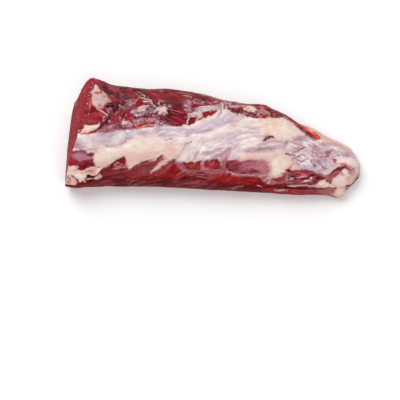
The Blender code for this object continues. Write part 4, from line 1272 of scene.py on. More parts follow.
# Light and shade that streaks and lumps give, in the order that it is laid: (tissue, what drives
# it, its sign, where it starts and is full, how much at most, what the colour goes towards). The
# last is a colour by name, or shares of the red, green and blue that are there.
TINTS = (
    ("silver", "clouds", 1, (0.15, 0.7), 0.25, "blue_silver"),
    ("silver", "clouds", -1, (0.2, 0.8), 0.22, "rose"),
    ("silver", "creases", 1, None, 0.45, (0.72, 0.58, 0.68)),
    ("silver", "broad streaks", -1, (0.8, 2.4), 0.4, "mauve"),
    ("lean", "deep streaks", -1, (0.1, 2.2), 0.6, (0.55, 0.38, 0.42)),
    ("lean", "fine streaks", 1, (0.9, 2.6), 0.45, "haze"),
    ("torn", "specks", 1, (0.5, 1.5), 0.35, "rose"),
    ("torn", "specks", -1, (0.4, 1.3), 0.45, "hollow"),
    ("torn", "pits", -1, (0.05, 0.7), 0.6, (0.42, 0.25, 0.3)),
    ("whole lean", "film", 1, (0.7, 2.2), 0.22, "purple_lean"),
    ("fat", "blotches", 1, (0.1, 0.7), 0.32, "pink_fat"),
    ("fat", "blotches", -1, (0.2, 0.8), 0.22, "warm_cream"),
    ("fat", "fine lumps", -1, (0.3, 1.0), 0.3, (0.90, 0.80, 0.76)),
)
GRAIN = {"silver": 0.11, "fat": 0.07, "lean": 0.34, "torn": 0.2}
GRAIN_TINT = (0.6, 1.0, 0.95)

# The hidden sides, in metres: the foot is leaner, and the tail's end is fatter
HIDDEN_FOOT = (0.006, 0.030)
HIDDEN_TAIL = (0.095, 0.125)
FOOT_SHARE = 0.4  # how much less of the tail's fat its foot has

# Sheets of silverskin: the outline that each keeps to
SHEETS = {
    "torn_fascia": (
        (97, 84), (150, 86), (204, 92), (240, 100), (290, 112), (290, 120), (236, 116), (214, 106),
        (204, 116), (190, 126), (150, 129), (108, 134), (97, 120),
    ),
    "silverskin": (
        (60, 128), (108, 134), (150, 129), (190, 126), (204, 116), (214, 106), (236, 116), (284, 116),
        (292, 140), (286, 184), (200, 184), (60, 184),
    ),
    "tail_membrane": ((284, 116), (300, 118), (366, 146), (366, 192), (286, 192), (286, 184), (292, 140)),
}

# Parts of the muscle's own surface that are cut finer than the rest
LEAN_SHEETS = {
    "torn_lean": (
        (86, 84), (97, 70), (150, 80), (204, 86), (240, 94), (296, 108), (300, 124), (236, 122), (214, 112),
        (204, 122), (190, 130), (150, 134), (108, 138), (82, 138), (78, 120),
    ),
    "lower_lean": (
        (62, 158), (92, 158), (130, 161), (150, 157), (180, 160), (222, 158), (262, 156), (272, 172),
        (292, 168), (320, 170), (350, 165), (360, 178), (340, 188), (290, 187), (200, 186), (62, 185),
    ),
}


def linear(colour):
    """A colour of 0 to 255 as the screen shows it, as linear light."""
    share = np.array(colour) / 255.0
    return np.where(share <= 0.04045, share / 12.92, ((share + 0.055) / 1.055) ** 2.4)


def streak_angle(places):
    """The angle of the streaks at places in the picture, from the nearest guides."""
    s = np.zeros(len(places))
    c = np.zeros(len(places))
    for u, v, degrees in STREAKS:
        gaps = (places[:, 0] - u) ** 2 + (places[:, 1] - v) ** 2
        weight = (gaps + GUIDE_REACH) ** GUIDE_POWER
        s += weight * math.sin(math.radians(degrees))
        c += weight * math.cos(math.radians(degrees))
    return np.arctan2(s, c)


class Skin:
    """The skin's grid with what is painted on it, as flat rows of points."""

    def __init__(self, palette, sizes):
        self.palette = {name: np.array(colour) for name, colour in palette}
        self.sizes = dict(sizes)
        self.base = base_skin()
        self.shape = self.base.shape[:2]
        self.normals = grid_normals(self.base)
        self.run, self.cell_along, self.cell_around = run_lengths(self.base)
        self.points = self.base.reshape(-1, 3)
        towards = VIEW_EYE - self.points
        towards /= np.linalg.norm(towards, axis=1, keepdims=True)
        self.facing = (towards * self.normals.reshape(-1, 3)).sum(axis=1)
        self.seen = eased(self.facing, FACING_START, FACING_FULL)
        self.visible = np.flatnonzero(self.seen > 0)
        self.picture = picture_places(self.points)
        self.angle = streak_angle(self.picture) * eased(self.facing, 0.0, TURN_FACING)
        steady = np.clip(STEADY_FACING * self.facing, LEAST_WANDER, 1.0)
        for k, (size, reach) in enumerate(WANDER):
            for axis in range(2):
                shift = noise(self.points, size, WANDER_SEED + 2 * k + axis)
                self.picture[:, axis] += reach * steady * shift
        self.seen_u, self.seen_v = self.picture[self.visible].T.copy()
        self.long, self.middle, self.short = self.streaks()
        self.pull = np.clip(self.streaked(FEATHER_STREAKS), -1, 1)
        self.holes = BREAK * eased(layered(self.points, HOLE_NOISE), *HOLE_SPAN)
        count = len(self.points)
        self.colour = np.tile(self.palette["brown_lean"], (count, 1))
        self.traits = np.tile(TISSUES["lean"], (count, 1))
        self.rise = np.zeros(count)
        self.fat = {name: np.zeros(count) for name in FAT_PATCHES}

    def streaks(self):
        """Noise drawn out along the streaks, one row for each of STREAK_SCALES."""
        stations, columns = self.shape
        dice = np.random.default_rng(STREAK_SEED)
        grids = []
        for _, grain in STREAK_SCALES:
            spread = grain / STREAK_STEP
            grids.append(standard(blurred(dice.normal(size=self.shape), spread, spread)).reshape(-1))
        reaches = [int(length / STREAK_STEP) for length, _ in STREAK_SCALES]
        along = np.maximum(self.cell_along.reshape(-1), SHORTEST_CELL)
        around = np.maximum(self.cell_around.reshape(-1), SHORTEST_CELL)
        step_along = STREAK_STEP * np.cos(self.angle) / along
        step_around = STREAK_STEP * np.sin(self.angle) / around
        totals = np.zeros((len(grids), len(self.angle)))
        rows, cols = np.divmod(np.arange(len(self.angle)), columns)
        for sign in (-1, 1):
            i, j = rows.astype(float), cols.astype(float)
            for step in range(max(reaches)):
                row = np.clip(np.rint(i), 0, stations - 1).astype(np.int64)
                at = row * columns + np.rint(j).astype(np.int64) % columns
                for total, grid, reach in zip(totals, grids, reaches):
                    if step < reach:
                        total += grid[at] * (0.5 + 0.5 * math.cos(math.pi * step / reach))
                i += sign * step_along[at]
                j += sign * step_around[at]
        return [standard(total) for total in totals]

    def streaked(self, weights):
        """The long, middle and short streaks, each times its weight."""
        long, middle, short = weights
        return long * self.long + middle * self.middle + short * self.short

    def near(self, outline, reach):
        """The visible points about an outline."""
        low = outline.min(axis=0) - reach - 1
        high = outline.max(axis=0) + reach + 1
        held = (self.seen_u > low[0]) & (self.seen_u < high[0])
        held &= (self.seen_v > low[1]) & (self.seen_v < high[1])
        return self.visible[held]

    def lay(self, near, share, tissue, colour, lift):
        """Covers points with a tissue's colour and traits, and lifts them."""
        if tissue in ("silver", "fat"):
            share = share * (1 - self.holes[near] * self.traits[near, 2])
        share = share[:, None]
        self.colour[near] = mixed(self.colour[near], colour, share)
        self.traits[near] = mixed(self.traits[near], np.array(TISSUES[tissue]), share)
        self.rise[near] += lift

    def patch(self, tissue, colour, cover, rise, slope, soft, outline):
        """Paints and lifts what lies inside an outline."""
        near = self.near(np.array(outline, dtype=float), slope)
        depth = depth_in(self.picture[near], outline)
        depth = depth + FEATHER[tissue] * soft * self.pull[near]
        seen = self.seen[near]
        mask = eased(depth, -soft / 2, soft / 2) * seen
        lift = min(rise * RISE_SHARE[tissue], STEEPEST * slope) * eased(depth, -soft / 2, slope) * seen
        self.lay(near, mask * cover, tissue, self.palette[colour], lift)
        return near, depth, mask

    def fat_patch(self, piece, colour, cover, rise, slope, soft, outline):
        """The same for fat, which also belongs to one of the pieces of fat."""
        near, depth, mask = self.patch("fat", colour, cover, rise, slope, soft, outline)
        if cover == 1.0:
            self.rise[near] += FAT_STEP * mask
            tint = mask * (1 - eased(depth, *FAT_TINT)) * FAT_TINT_SHARE
            self.colour[near] = mixed(self.colour[near], self.palette["pink_fat"], tint[:, None])
        self.fat[piece][near] = np.maximum(self.fat[piece][near], mask)

    def stroke(self, tissue, colour, cover, rise, half, points):
        """Paints and lifts a line that narrows to both its ends."""
        line = smooth_curve(points, closed=False)
        near = self.near(line, half + STROKE_MARGIN)
        gap, share = distance_to_line(self.picture[near], line)
        ends = np.clip(np.minimum(share, 1 - share) / TAPER, 0.0, 1.0)
        width = half * mixed(STROKE_ENDS, 1.0, np.sqrt(ends))
        depth = width - gap
        seen = self.seen[near]
        mask = eased(depth, -STROKE_EDGE, STROKE_EDGE) * seen
        lift = rise * RISE_SHARE[tissue] * eased(depth, -STROKE_EDGE, width.max()) * seen
        self.lay(near, mask * cover, tissue, self.palette[colour], lift)

    def strew(self, count, seed, turn, lengths, halves, kinds, outline):
        """Short strokes by chance inside an outline."""
        dice = np.random.default_rng(seed)
        for kind, line in strewn_lines(dice, count, turn, lengths, STREWN_BEND, kinds, outline):
            tissue, colour, cover, rise, _ = kind
            self.stroke(tissue, colour, cover, rise, dice.uniform(*halves), line)

    def paint_hidden(self):
        """The sides that the picture doesn't show: lean under a thin, streaky membrane."""
        points = self.points
        everywhere = slice(None)
        slow = noise(points * LONG_DRAWN, 0.022, 41) + 0.35 * self.middle
        none = np.zeros(len(points))
        foot = 1 - eased(points[:, 2], *HIDDEN_FOOT)
        strands = self.short * 0.5 + self.middle * 0.5 + noise(points, 0.03, 43)
        tail = eased(points[:, 0], *HIDDEN_TAIL) * (1 - FOOT_SHARE * foot)
        # Each row is (how much, of which tissue, in which colour, lift in millimetres)
        for share, tissue, colour, lift in (
            (eased(slow, 0.0, 1.1) * 0.8, "lean", "purple_lean", none),
            (eased(slow, 0.75, 1.25) * 0.75, "silver", "mauve", none),
            (eased(slow + 0.2 * self.short, 1.05, 1.55) * 0.85, "silver", "silver", none),
            (eased(-slow, 0.5, 1.4) * 0.7, "lean", "dark_lean", none),
            (eased(strands, 0.9, 1.9) * 0.7, "silver", "rose", 0.2 * eased(strands, 1.0, 1.9)),
            (eased(strands, 1.4, 2.3) * 0.8, "fat", "pink_fat", 0.3 * eased(strands, 1.4, 2.3)),
            (tail * eased(slow, -0.9, 0.1) * 0.9, "silver", "rose", none),
            (tail * eased(slow, -0.1, 0.7) * 0.9, "fat", "pink_fat", 0.5 * tail),
        ):
            self.lay(everywhere, share, tissue, self.palette[colour], lift)

    def paint(self):
        """Lays every row. The first word of each is only its name."""
        self.paint_hidden()
        for rows in (LEAN_PATCHES, SILVER_PATCHES, WINDOW_PATCHES):
            for _, *row in rows:
                self.patch(*row)
        for _, *row in STREWN:
            self.strew(*row)
        for piece, rows in FAT_PATCHES.items():
            for _, *row in rows:
                self.fat_patch(piece, *row)
        for _, *row in TOP_PATCHES:
            self.patch(*row)
        for _, *row in STROKES:
            self.stroke(*row)

    def creases(self):
        """Thin lines along the streaks, here and there: 1 on a line."""
        lines = np.exp(-((self.middle / CREASE_WIDTH) ** 2))
        return lines * eased(noise(self.points, 0.016, 71), 0.0, 0.5)

    def relief(self):
        """How far each point stands out, in millimetres."""
        fat, silver, torn, _ = self.traits.T
        lean = np.clip(1 - fat - silver - torn, 0, 1)
        sizes = self.sizes
        lumps = layered(self.points, LUMP_NOISE) + self.streaked(FAT_STREAKS)
        folds = self.streaked(FOLD_STREAKS) + layered(self.points, FOLD_NOISE)
        folds -= CREASE_DEPTH * self.creases()
        tears = layered(self.points * DRAWN, TEAR_RIDGES, ridged) + self.streaked(TORN_STREAKS)
        relief = self.rise + fat * lumps * sizes["fat_lumps"] + silver * folds * sizes["silver_folds"]
        relief += lean * self.streaked(FIBRE_STREAKS) * sizes["lean_fibres"]
        return relief + torn * tears * sizes["tears"]

    def silver_tone(self):
        """The silverskin's light and shade along the streaks, as a ratio for each colour."""
        tone = np.clip(SILVER_TONE_MIDDLE + self.streaked(TONE_STREAKS), 0, 1)
        steps = [step for step, _ in SILVER_TONES]
        ramp = linear([tones for _, tones in SILVER_TONES])
        ratios = []
        for channel in ramp.T:
            middle = np.interp(SILVER_TONE_MIDDLE, steps, channel)
            ratios.append(np.interp(tone, steps, channel) / middle)
        return np.stack(ratios, axis=1)

    def drives(self):
        """What the tints follow, by name."""
        points = self.points
        found = {name: self.streaked(weights) for name, weights in DRIVE_STREAKS.items()}
        found["clouds"] = noise(points, 0.015, 72)
        found["creases"] = self.creases()
        found["specks"] = layered(points, SPECK_NOISE)
        found["pits"] = noise(points * DRAWN, *TEAR_RIDGES[1][1:])
        found["film"] = self.long + 1.2 * noise(points, 0.02, 73)
        found["blotches"] = noise(points, 0.008, 74)
        found["fine lumps"] = layered(points, FINE_NOISE)
        return found

    def tinted(self):
        """The colour with the streaks' and lumps' own light and shade."""
        fat, silver, torn, _ = self.traits.T
        lean = np.clip(1 - fat - silver, 0, 1)
        where = {"fat": fat, "silver": silver, "torn": torn, "lean": lean}
        where["whole lean"] = lean * (1 - torn)
        colour = mixed(self.colour, self.colour * self.silver_tone(), silver[:, None])
        drives = self.drives()
        for tissue, drive, sign, span, most, towards in TINTS:
            share = sign * drives[drive]
            if span:
                share = eased(share, *span)
            goal = self.palette[towards] if isinstance(towards, str) else colour * towards
            colour = mixed(colour, goal, (where[tissue] * share * most)[:, None])
        grain = noise(self.points * DRAWN, 0.0027, 79) + 0.8 * noise(self.points, 0.0013, 80)
        swing = grain * sum(most * where[tissue] for tissue, most in GRAIN.items())
        colour = colour * (1 + swing[:, None] * GRAIN_TINT)
        return np.clip(colour, 0.0, BRIGHTEST)

    def finish(self):
        """Works out the raised surface, the colours and the layers."""
        rows, columns = self.shape
        tip_start = STATIONS - TIP_STATIONS
        tip = np.repeat(eased(np.arange(rows), tip_start, rows - TIP_RINGS), columns)
        self.height = self.relief() * (1 - tip)
        self.outer_normals = grid_normals(self.raised(0.0)).reshape(-1, 3)
        shade = self.tinted()
        tip_shade = shade.reshape(rows, columns, -1)[tip_start].mean(axis=0)
        self.shade = mixed(shade, tip_shade, tip[:, None])
        self.cut_layers()

    def cut_layers(self):
        """Works out how far each layer covers, and how deep each lies under the ones above."""
        start = eased(self.run.reshape(-1), *START_SPAN)
        self.fat = {name: eased(cover, *FAT_SPAN) * start for name, cover in self.fat.items()}
        fat_cover = np.clip(sum(self.fat.values()), 0, 1)
        tissue = eased(self.traits[:, 1] + self.traits[:, 0], *TISSUE_SPAN)
        self.sheets = {}
        for name, outline in SHEETS.items():
            self.sheets[name] = self.covered(outline) * tissue * start
        sheet_cover = np.clip(sum(self.sheets.values()), 0, 1)
        self.lean_sheets = {name: self.covered(outline) * start for name, outline in LEAN_SHEETS.items()}
        lean_cover = np.clip(sum(self.lean_sheets.values()), 0, 1)
        gap = self.sizes["gap"] / MM
        fat_inside = self.well_inside(fat_cover)
        sheet_inside = self.well_inside(sheet_cover)
        self.under_fat = LAYER_STEP + gap * fat_inside
        self.under_sheets = self.under_fat + LAYER_STEP + gap * sheet_inside
        self.under_all = self.under_sheets + LAYER_STEP + gap * self.well_inside(lean_cover)
        bare = fat_inside < 1
        self.sheets = {name: cover * bare for name, cover in self.sheets.items()}
        bare = bare & (sheet_inside < 1)
        self.lean_sheets = {name: cover * bare for name, cover in self.lean_sheets.items()}

    def covered(self, outline):
        """1 well inside an outline where the picture sees the skin, and 0 outside it."""
        cover = np.zeros(len(self.points))
        near = self.near(np.array(outline, dtype=float), 0.0)
        depth = depth_in(self.picture[near], outline)
        cover[near] = eased(depth, 0.0, SHEET_EDGE) * self.seen[near]
        return cover

    def well_inside(self, cover):
        """1 where a cover is whole, kept some cells inside its edge."""
        grid = eased(cover, 0.5, 1.0).reshape(self.shape)
        for _ in range(MARGIN_CELLS):
            grid = np.minimum(grid, np.minimum(np.roll(grid, 1, axis=1), np.roll(grid, -1, axis=1)))
            padded = np.concatenate([grid[:1], grid, grid[-1:]])
            grid = np.minimum(grid, np.minimum(padded[:-2], padded[2:]))
        return grid.reshape(-1)

    def raised(self, lower):
        """The grid as it stands out, less a depth in millimetres, never lower than the sole."""
        lift = (self.height - lower).reshape(self.shape) * MM
        grid = self.base + self.normals * lift[..., None]
        grid[..., 2] = np.maximum(grid[..., 2], 0.0)
        return grid


def strewn_places(dice, count, outline):
    """Places by chance inside an outline."""
    curve = smooth_curve(outline, closed=True)
    low, high = curve.min(axis=0), curve.max(axis=0)
    places = dice.uniform(low, high, (count * STREWN_TRIES, 2))
    return places[inside(places, curve)][:count]


def strewn_lines(dice, count, turn, lengths, bend, kinds, outline):
    """Short bent lines by chance, within turn degrees of the streaks, each with its kind.

    A line's chances are drawn when it is asked for, so its user can draw more for it by then.
    """
    chances = np.array([kind[-1] for kind in kinds], dtype=float)
    chances /= chances.sum()
    for place in strewn_places(dice, count, outline):
        kind = kinds[dice.choice(len(kinds), p=chances)]
        angle = streak_angle(place[None])[0] + math.radians(dice.uniform(-turn, turn))
        reach = dice.uniform(*lengths) / 2 * np.array((math.cos(angle), -math.sin(angle)))
        side = dice.normal(0, bend) * np.array((reach[1], -reach[0]))
        yield kind, (place - reach, place + side, place + reach)


@functools.lru_cache(maxsize=1)
def painted_skin(palette, sizes):
    """The skin for one set of colours and sizes, kept for all the operators."""
    skin = Skin(palette, sizes)
    skin.paint()
    skin.finish()
    return skin


def current_skin(context):
    """The painted skin for the colours and sizes that the panel shows."""
    colours = context.scene.tenderloin_colours
    sizes = context.scene.tenderloin_sizes
    palette = tuple((name, tuple(getattr(colours, name))) for name in PALETTE)
    return painted_skin(palette, tuple((name, getattr(sizes, name)) for name in SIZES))


# ---------------------------------------------------------------------------------------------
# Meshes


def quads_at(i, j, columns):
    """The quads whose first corners are at rows i and columns j. The columns close around."""
    k = (j + 1) % columns
    here = i * columns
    after = here + columns
    return np.stack([here + j, after + j, after + k, here + k], axis=1)


def grid_faces(rows, columns, reverse=False):
    """Quads between rows of points that close around."""
    faces = quads_at(*np.divmod(np.arange((rows - 1) * columns), columns), columns)
    return faces[:, ::-1].tolist() if reverse else faces.tolist()


def fan_faces(start, columns, middle, reverse=False):
    """Triangles from a ring of points to the point in its middle."""
    faces = []
    for j in range(columns):
        face = (start + j, middle, start + (j + 1) % columns)
        faces.append(face[::-1] if reverse else face)
    return faces


def new_piece(name, points, faces, material, normals=None):
    """A smooth mesh object that rides on the part. Normals given light it as another surface."""
    mesh = bpy.data.meshes.new(name)
    mesh.from_pydata(np.asarray(points).tolist(), [], faces)
    mesh.update()
    mesh.shade_smooth()
    if normals is not None:
        mesh.normals_split_custom_set_from_vertices(normals.tolist())
    mesh.materials.append(material)
    piece = bpy.data.objects.new(name, mesh)
    bpy.context.scene.collection.objects.link(piece)
    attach(piece, BODY)
    return piece


def set_values(mesh, name, values):
    """Stores a value or a colour for each point, for the material to read."""
    kind, key = ("FLOAT", "value") if values.ndim == 1 else ("FLOAT_COLOR", "color")
    if values.ndim == 2:
        values = np.hstack([values[:, :3], np.ones((len(values), 1))])
    layer = mesh.attributes.new(name, kind, "POINT")
    layer.data.foreach_set(key, np.ascontiguousarray(values, dtype=np.float32).reshape(-1))


def set_tissue(mesh, colour, traits):
    """Stores what the material reads of the tissue at each point."""
    fat, silver, _, wet = traits.T
    set_values(mesh, "tissue", colour)
    set_values(mesh, "fat", fat)
    set_values(mesh, "silver", silver)
    set_values(mesh, "wet", wet)


def sheet_faces(cover, shape):
    """Quads of the grid's cells that have any cover, and the grid points that they use."""
    held = cover.reshape(shape) > LEAST_COVER
    cells = held[:-1] | held[1:]
    cells |= np.roll(cells, -1, axis=1)
    quads = quads_at(*np.nonzero(cells), shape[1])
    used, index = np.unique(quads, return_inverse=True)
    return used, index.reshape(quads.shape)


def closing_faces(faces, count):
    """The same faces turned over, and walls along the open edges between the two."""
    starts = faces.reshape(-1)
    ends = np.roll(faces, -1, axis=1).reshape(-1)
    keys = starts * count + ends
    open_edge = ~np.isin(keys, ends * count + starts)
    a, b = starts[open_edge], ends[open_edge]
    walls = np.stack([b, a, a + count, b + count], axis=1)
    return np.vstack([faces[:, ::-1] + count, walls])


def layer_piece(skin, name, cover, lower, material, closed):
    """One layer cut from the skin's grid. Its edges sink into what lies below."""
    sizes = skin.sizes
    used, faces = sheet_faces(cover, skin.shape)
    sunk = lower + DIP * (1 - eased(cover, *DIP_SPAN))
    sunk += sizes["sink"] / MM * (1 - eased(cover, *SINK_SPAN))
    points = skin.raised(sunk).reshape(-1, 3)[used]
    colour = skin.shade[used]
    traits = skin.traits[used]
    normals = skin.outer_normals[used]
    if closed:
        floor = np.maximum(sunk + FAT_THINNEST, skin.height + sizes["fat_depth"] / MM)
        below = skin.raised(floor).reshape(-1, 3)[used]
        faces = np.vstack([faces, closing_faces(faces, len(used))])
        points = np.vstack([points, below])
        colour = np.vstack([colour, colour])
        traits = np.vstack([traits, traits])
        normals = np.vstack([normals, -normals])
    piece = new_piece(name, points, faces.tolist(), material, normals)
    set_tissue(piece.data, colour, traits)
    return piece


# ---------------------------------------------------------------------------------------------
# Ribbons that lie on the skin: threads, shreds and the vein. Lifts and widths are millimetres.

RIBBON_SIDES = 8
RIBBON_ENDS = 0.03  # how little of its width a ribbon starts and ends with
RIBBON_SWELLS = (0.22, 0.003, 81)  # its uneven width: height, size of the lumps, seed
RIBBON_TINTS = (0.18, 0.002, 82)  # and its uneven colour
VEIN_THICKNESS = 0.0006
NEAREST = 4  # a ribbon's ground is the mean of this many points of the skin
NEAREST_GAP = 0.05

# (name, tissue, colour, half width, lift at the start, middle and end, points)
THREADS = (
    ("thread over the lower lean", "silver", "rose", 0.34, (0.0, 0.9, 0.1),
     ((194, 173), (200, 171), (204, 171.5), (210, 172), (216, 170), (221, 169.2))),
    ("thread below that", "silver", "rose", 0.25, (0.0, 0.5, 0.0), ((195, 176), (204, 177), (210, 179))),
    ("thread under the great window", "silver", "rose", 0.37, (0.0, 0.8, 0.1),
     ((238, 175), (246, 176), (252, 174.5), (258, 174), (263, 176))),
    ("short white line", "silver", "pearl", 0.25, (0.0, 0.4, 0.2),
     ((256.6, 185), (259.4, 185.6), (262, 187))),
    ("edge of the slanting fascia", "silver", "white", 0.28, (0.0, 0.8, 0.1),
     ((174, 155.4), (166, 161), (159, 166.6), (151, 172))),
    ("thread in the pocket", "fat", "pink_fat", 0.25, (0.1, 0.8, 0.1),
     ((113, 165.4), (116, 163.8), (119.6, 162.9))),
    ("tail of the comma", "fat", "pink_fat", 0.34, (0.0, 0.7, 0.1),
     ((92.5, 100.6), (96, 106.6), (100, 110.4), (104, 112.8), (107, 115.5))),
    ("line over the lavender band", "silver", "pearl", 0.31, (0.0, 0.9, 0.2),
     ((138, 109), (143, 107.4), (148, 105.5))),
    ("line under the lavender band", "silver", "white", 0.28, (0.0, 0.6, 0.1),
     ((134, 114.6), (138, 115.5), (142, 115.5))),
    ("upper scribble", "fat", "ivory", 0.28, (0.0, 1.0, 0.6),
     ((140, 97.4), (142, 98.2), (145, 99.5), (150, 100))),
    ("lower scribble", "fat", "ivory", 0.28, (0.2, 1.0, 0.2),
     ((144, 102.2), (148, 101.8), (151, 102.2), (152.5, 103.6))),
    ("hook", "silver", "white", 0.28, (0.0, 0.9, 0.4), ((143, 94.6), (144.6, 96.6), (145, 99))),
    ("arc in the hollow", "silver", "rose", 0.34, (0.1, 1.4, 0.2),
     ((167.5, 107.5), (172, 110.8), (178, 112.4), (184, 113.1))),
    ("upper arc in the hollow", "silver", "rose", 0.28, (0.1, 1.0, 0.6),
     ((167.6, 104.8), (170, 105.5), (173, 105.6))),
    ("arc right of the strip", "silver", "white", 0.37, (0.0, 0.9, 0.1),
     ((189, 113), (192, 114.5), (197, 114), (199.5, 116.5))),
    ("line left of the red window", "silver", "white", 0.31, (0.1, 0.7, 0.1),
     ((189.2, 116.6), (188.2, 120), (187, 123.4))),
    ("ridge over the red windows", "silver", "white", 0.43, (0.0, 0.9, 0.3),
     ((200, 107), (204, 106.6), (208, 107), (214, 106.4), (221, 103.6))),
    ("spike", "silver", "white", 0.37, (0.1, 0.9, 0.9), ((223, 112), (222.6, 107), (221.4, 102.4))),
    ("second spike", "silver", "white", 0.31, (0.1, 0.7, 0.5), ((226, 115), (226.4, 110), (225.6, 104.6))),
    ("pink fibre, far edge", "silver", "rose", 0.28, (0.0, 0.7, 0.2),
     ((236, 104.4), (239.4, 105), (243.4, 105.6))),
    ("arm, far edge", "fat", "pink_fat", 0.37, (0.1, 0.9, 0.1),
     ((257, 112.4), (261, 110.4), (266, 111.8), (270, 113.4))),
    ("light fibre", "silver", "rose", 0.22, (0.0, 0.5, 0.0), ((176, 92.6), (184, 93.6), (194, 95.2))),
    ("salmon fibre", "fat", "peach", 0.25, (0.0, 0.6, 0.1), ((183, 95.9), (187, 96.2), (190.4, 96.8))),
    # Raised threads painted white as glints on the wet lean before the tail, in this row and the next
    ("glint thread before the tail", "silver", "pearl", 0.28, (0.0, 0.7, 0.1),
     ((297, 178), (302, 176.9), (307, 177))),
    ("second glint thread there", "silver", "white", 0.28, (0.0, 0.7, 0.1),
     ((304, 181.6), (307, 180.8), (310, 180.6))),
    ("strip under the crease", "fat", "ivory", 0.25, (0.0, 0.4, 0.0),
     ((275, 191), (280, 190.4), (285, 190.6))),
    ("rim of the notch", "fat", "white", 0.28, (0.0, 0.5, 0.0),
     ((263.4, 137), (266, 134.4), (269, 133.4), (273, 135.8))),
    ("fold over the vein mark", "silver", "white", 0.25, (0.0, 0.5, 0.0),
     ((291, 148.6), (297, 146.4), (303, 146))),
    ("pale line by the cut edge", "fat", "rose", 0.25, (0.0, 0.4, 0.0),
     ((91.2, 98.4), (91, 103), (90.2, 109))),
)

# (name, tissue, colour, half width, lift at the start, middle and end, points)
VEINS = (
    ("vein", "blood", "blood", 0.95, (0.1, 0.5, 0.1),
     ((290, 120.6), (296, 124), (302, 128.2), (306, 131), (311, 134.4), (317, 138.6))),
    ("dark edge of the vein", "hollow", "hollow", 0.6, (0.0, 0.3, 0.0),
     ((293, 123.6), (300, 128.4), (306, 132.8), (313, 138))),
    ("light on the vein", "blood", "coral", 0.35, (0.5, 1.0, 0.5),
     ((304, 128.6), (309, 131.6), (315, 135.6))),
    ("small vessel", "blood", "blood", 0.4, (0.1, 0.3, 0.1), ((300, 149), (303, 148), (306, 147.4))),
)

# Small white specks of fat: (u, v)
SPECKS = (
    (90.6, 82.6), (90.2, 87.2), (87.2, 92), (86.6, 95), (88.6, 114), (87.4, 104), (85.4, 99), (84.6, 107),
    (82.6, 120),
)
SPECK_HALF = 0.4
SPECK_BEND = 0.1
SPECK_LIFTS = (0.2, 0.3, 0.2)

# Shreds strewn by chance, with one end loose: (name, count, seed, reach from the streaks in
# degrees, lengths, half widths, greatest lift, kinds, outline). A kind is (tissue, colour, weight).
SHRED_BEND = 0.3
SHRED_LEAST_LIFT = 0.2
SHRED_MIDDLE = (0.15, 0.35)  # the middle's lift, and what it takes of the loose end's
SHRED_KINDS = (
    ("silver", "rose", 2), ("silver", "mauve", 3), ("torn", "cherry_lean", 5),
    ("torn", "dark_lean", 4), ("torn", "magenta_lean", 3),
)
SHREDS = (
    ("left", 24, 101, 50, (3.0, 7.0), (0.3, 0.8), 0.6, SHRED_KINDS,
     ((106, 97), (122, 94), (140, 94), (166, 97), (168, 122), (150, 126), (124, 129), (108, 126),
      (112, 112))),
    ("right", 8, 103, 50, (2.4, 5.0), (0.3, 0.7), 0.6, SHRED_KINDS,
     ((188, 100), (202, 99), (206, 110), (192, 122), (187, 118))),
    ("far edge", 12, 104, 24, (3.0, 7.0), (0.3, 0.8), 0.6, SHRED_KINDS,
     ((206, 97), (240, 104), (268, 108), (284, 115), (262, 117), (236, 112), (210, 104))),
    ("before the tail", 10, 105, 16, (4.0, 9.0), (0.35, 0.8), 0.5, SHRED_KINDS,
     ((290, 178), (304, 172), (320, 176), (326, 180), (308, 184))),
)


class Ground:
    """The finished surface under places in the picture."""

    def __init__(self, skin):
        held = np.flatnonzero(skin.facing > FACING_START)
        self.points = skin.raised(0.0).reshape(-1, 3)[held]
        self.normals = skin.normals.reshape(-1, 3)[held]
        self.tree = KDTree(len(held))
        for k, (u, v) in enumerate(picture_places(self.points)):
            self.tree.insert((u, v, 0.0), k)
        self.tree.balance()

    def at(self, places):
        """The surface's points and normals under places in the picture."""
        points, normals = [], []
        for u, v in places:
            found = self.tree.find_n((u, v, 0.0), NEAREST)
            index = [k for _, k, _ in found]
            weights = np.array([1.0 / (gap + NEAREST_GAP) for _, _, gap in found])
            weights /= weights.sum()
            points.append(weights @ self.points[index])
            normals.append(weights @ self.normals[index])
        normals = np.array(normals)
        return np.array(points), normals / np.linalg.norm(normals, axis=1, keepdims=True)


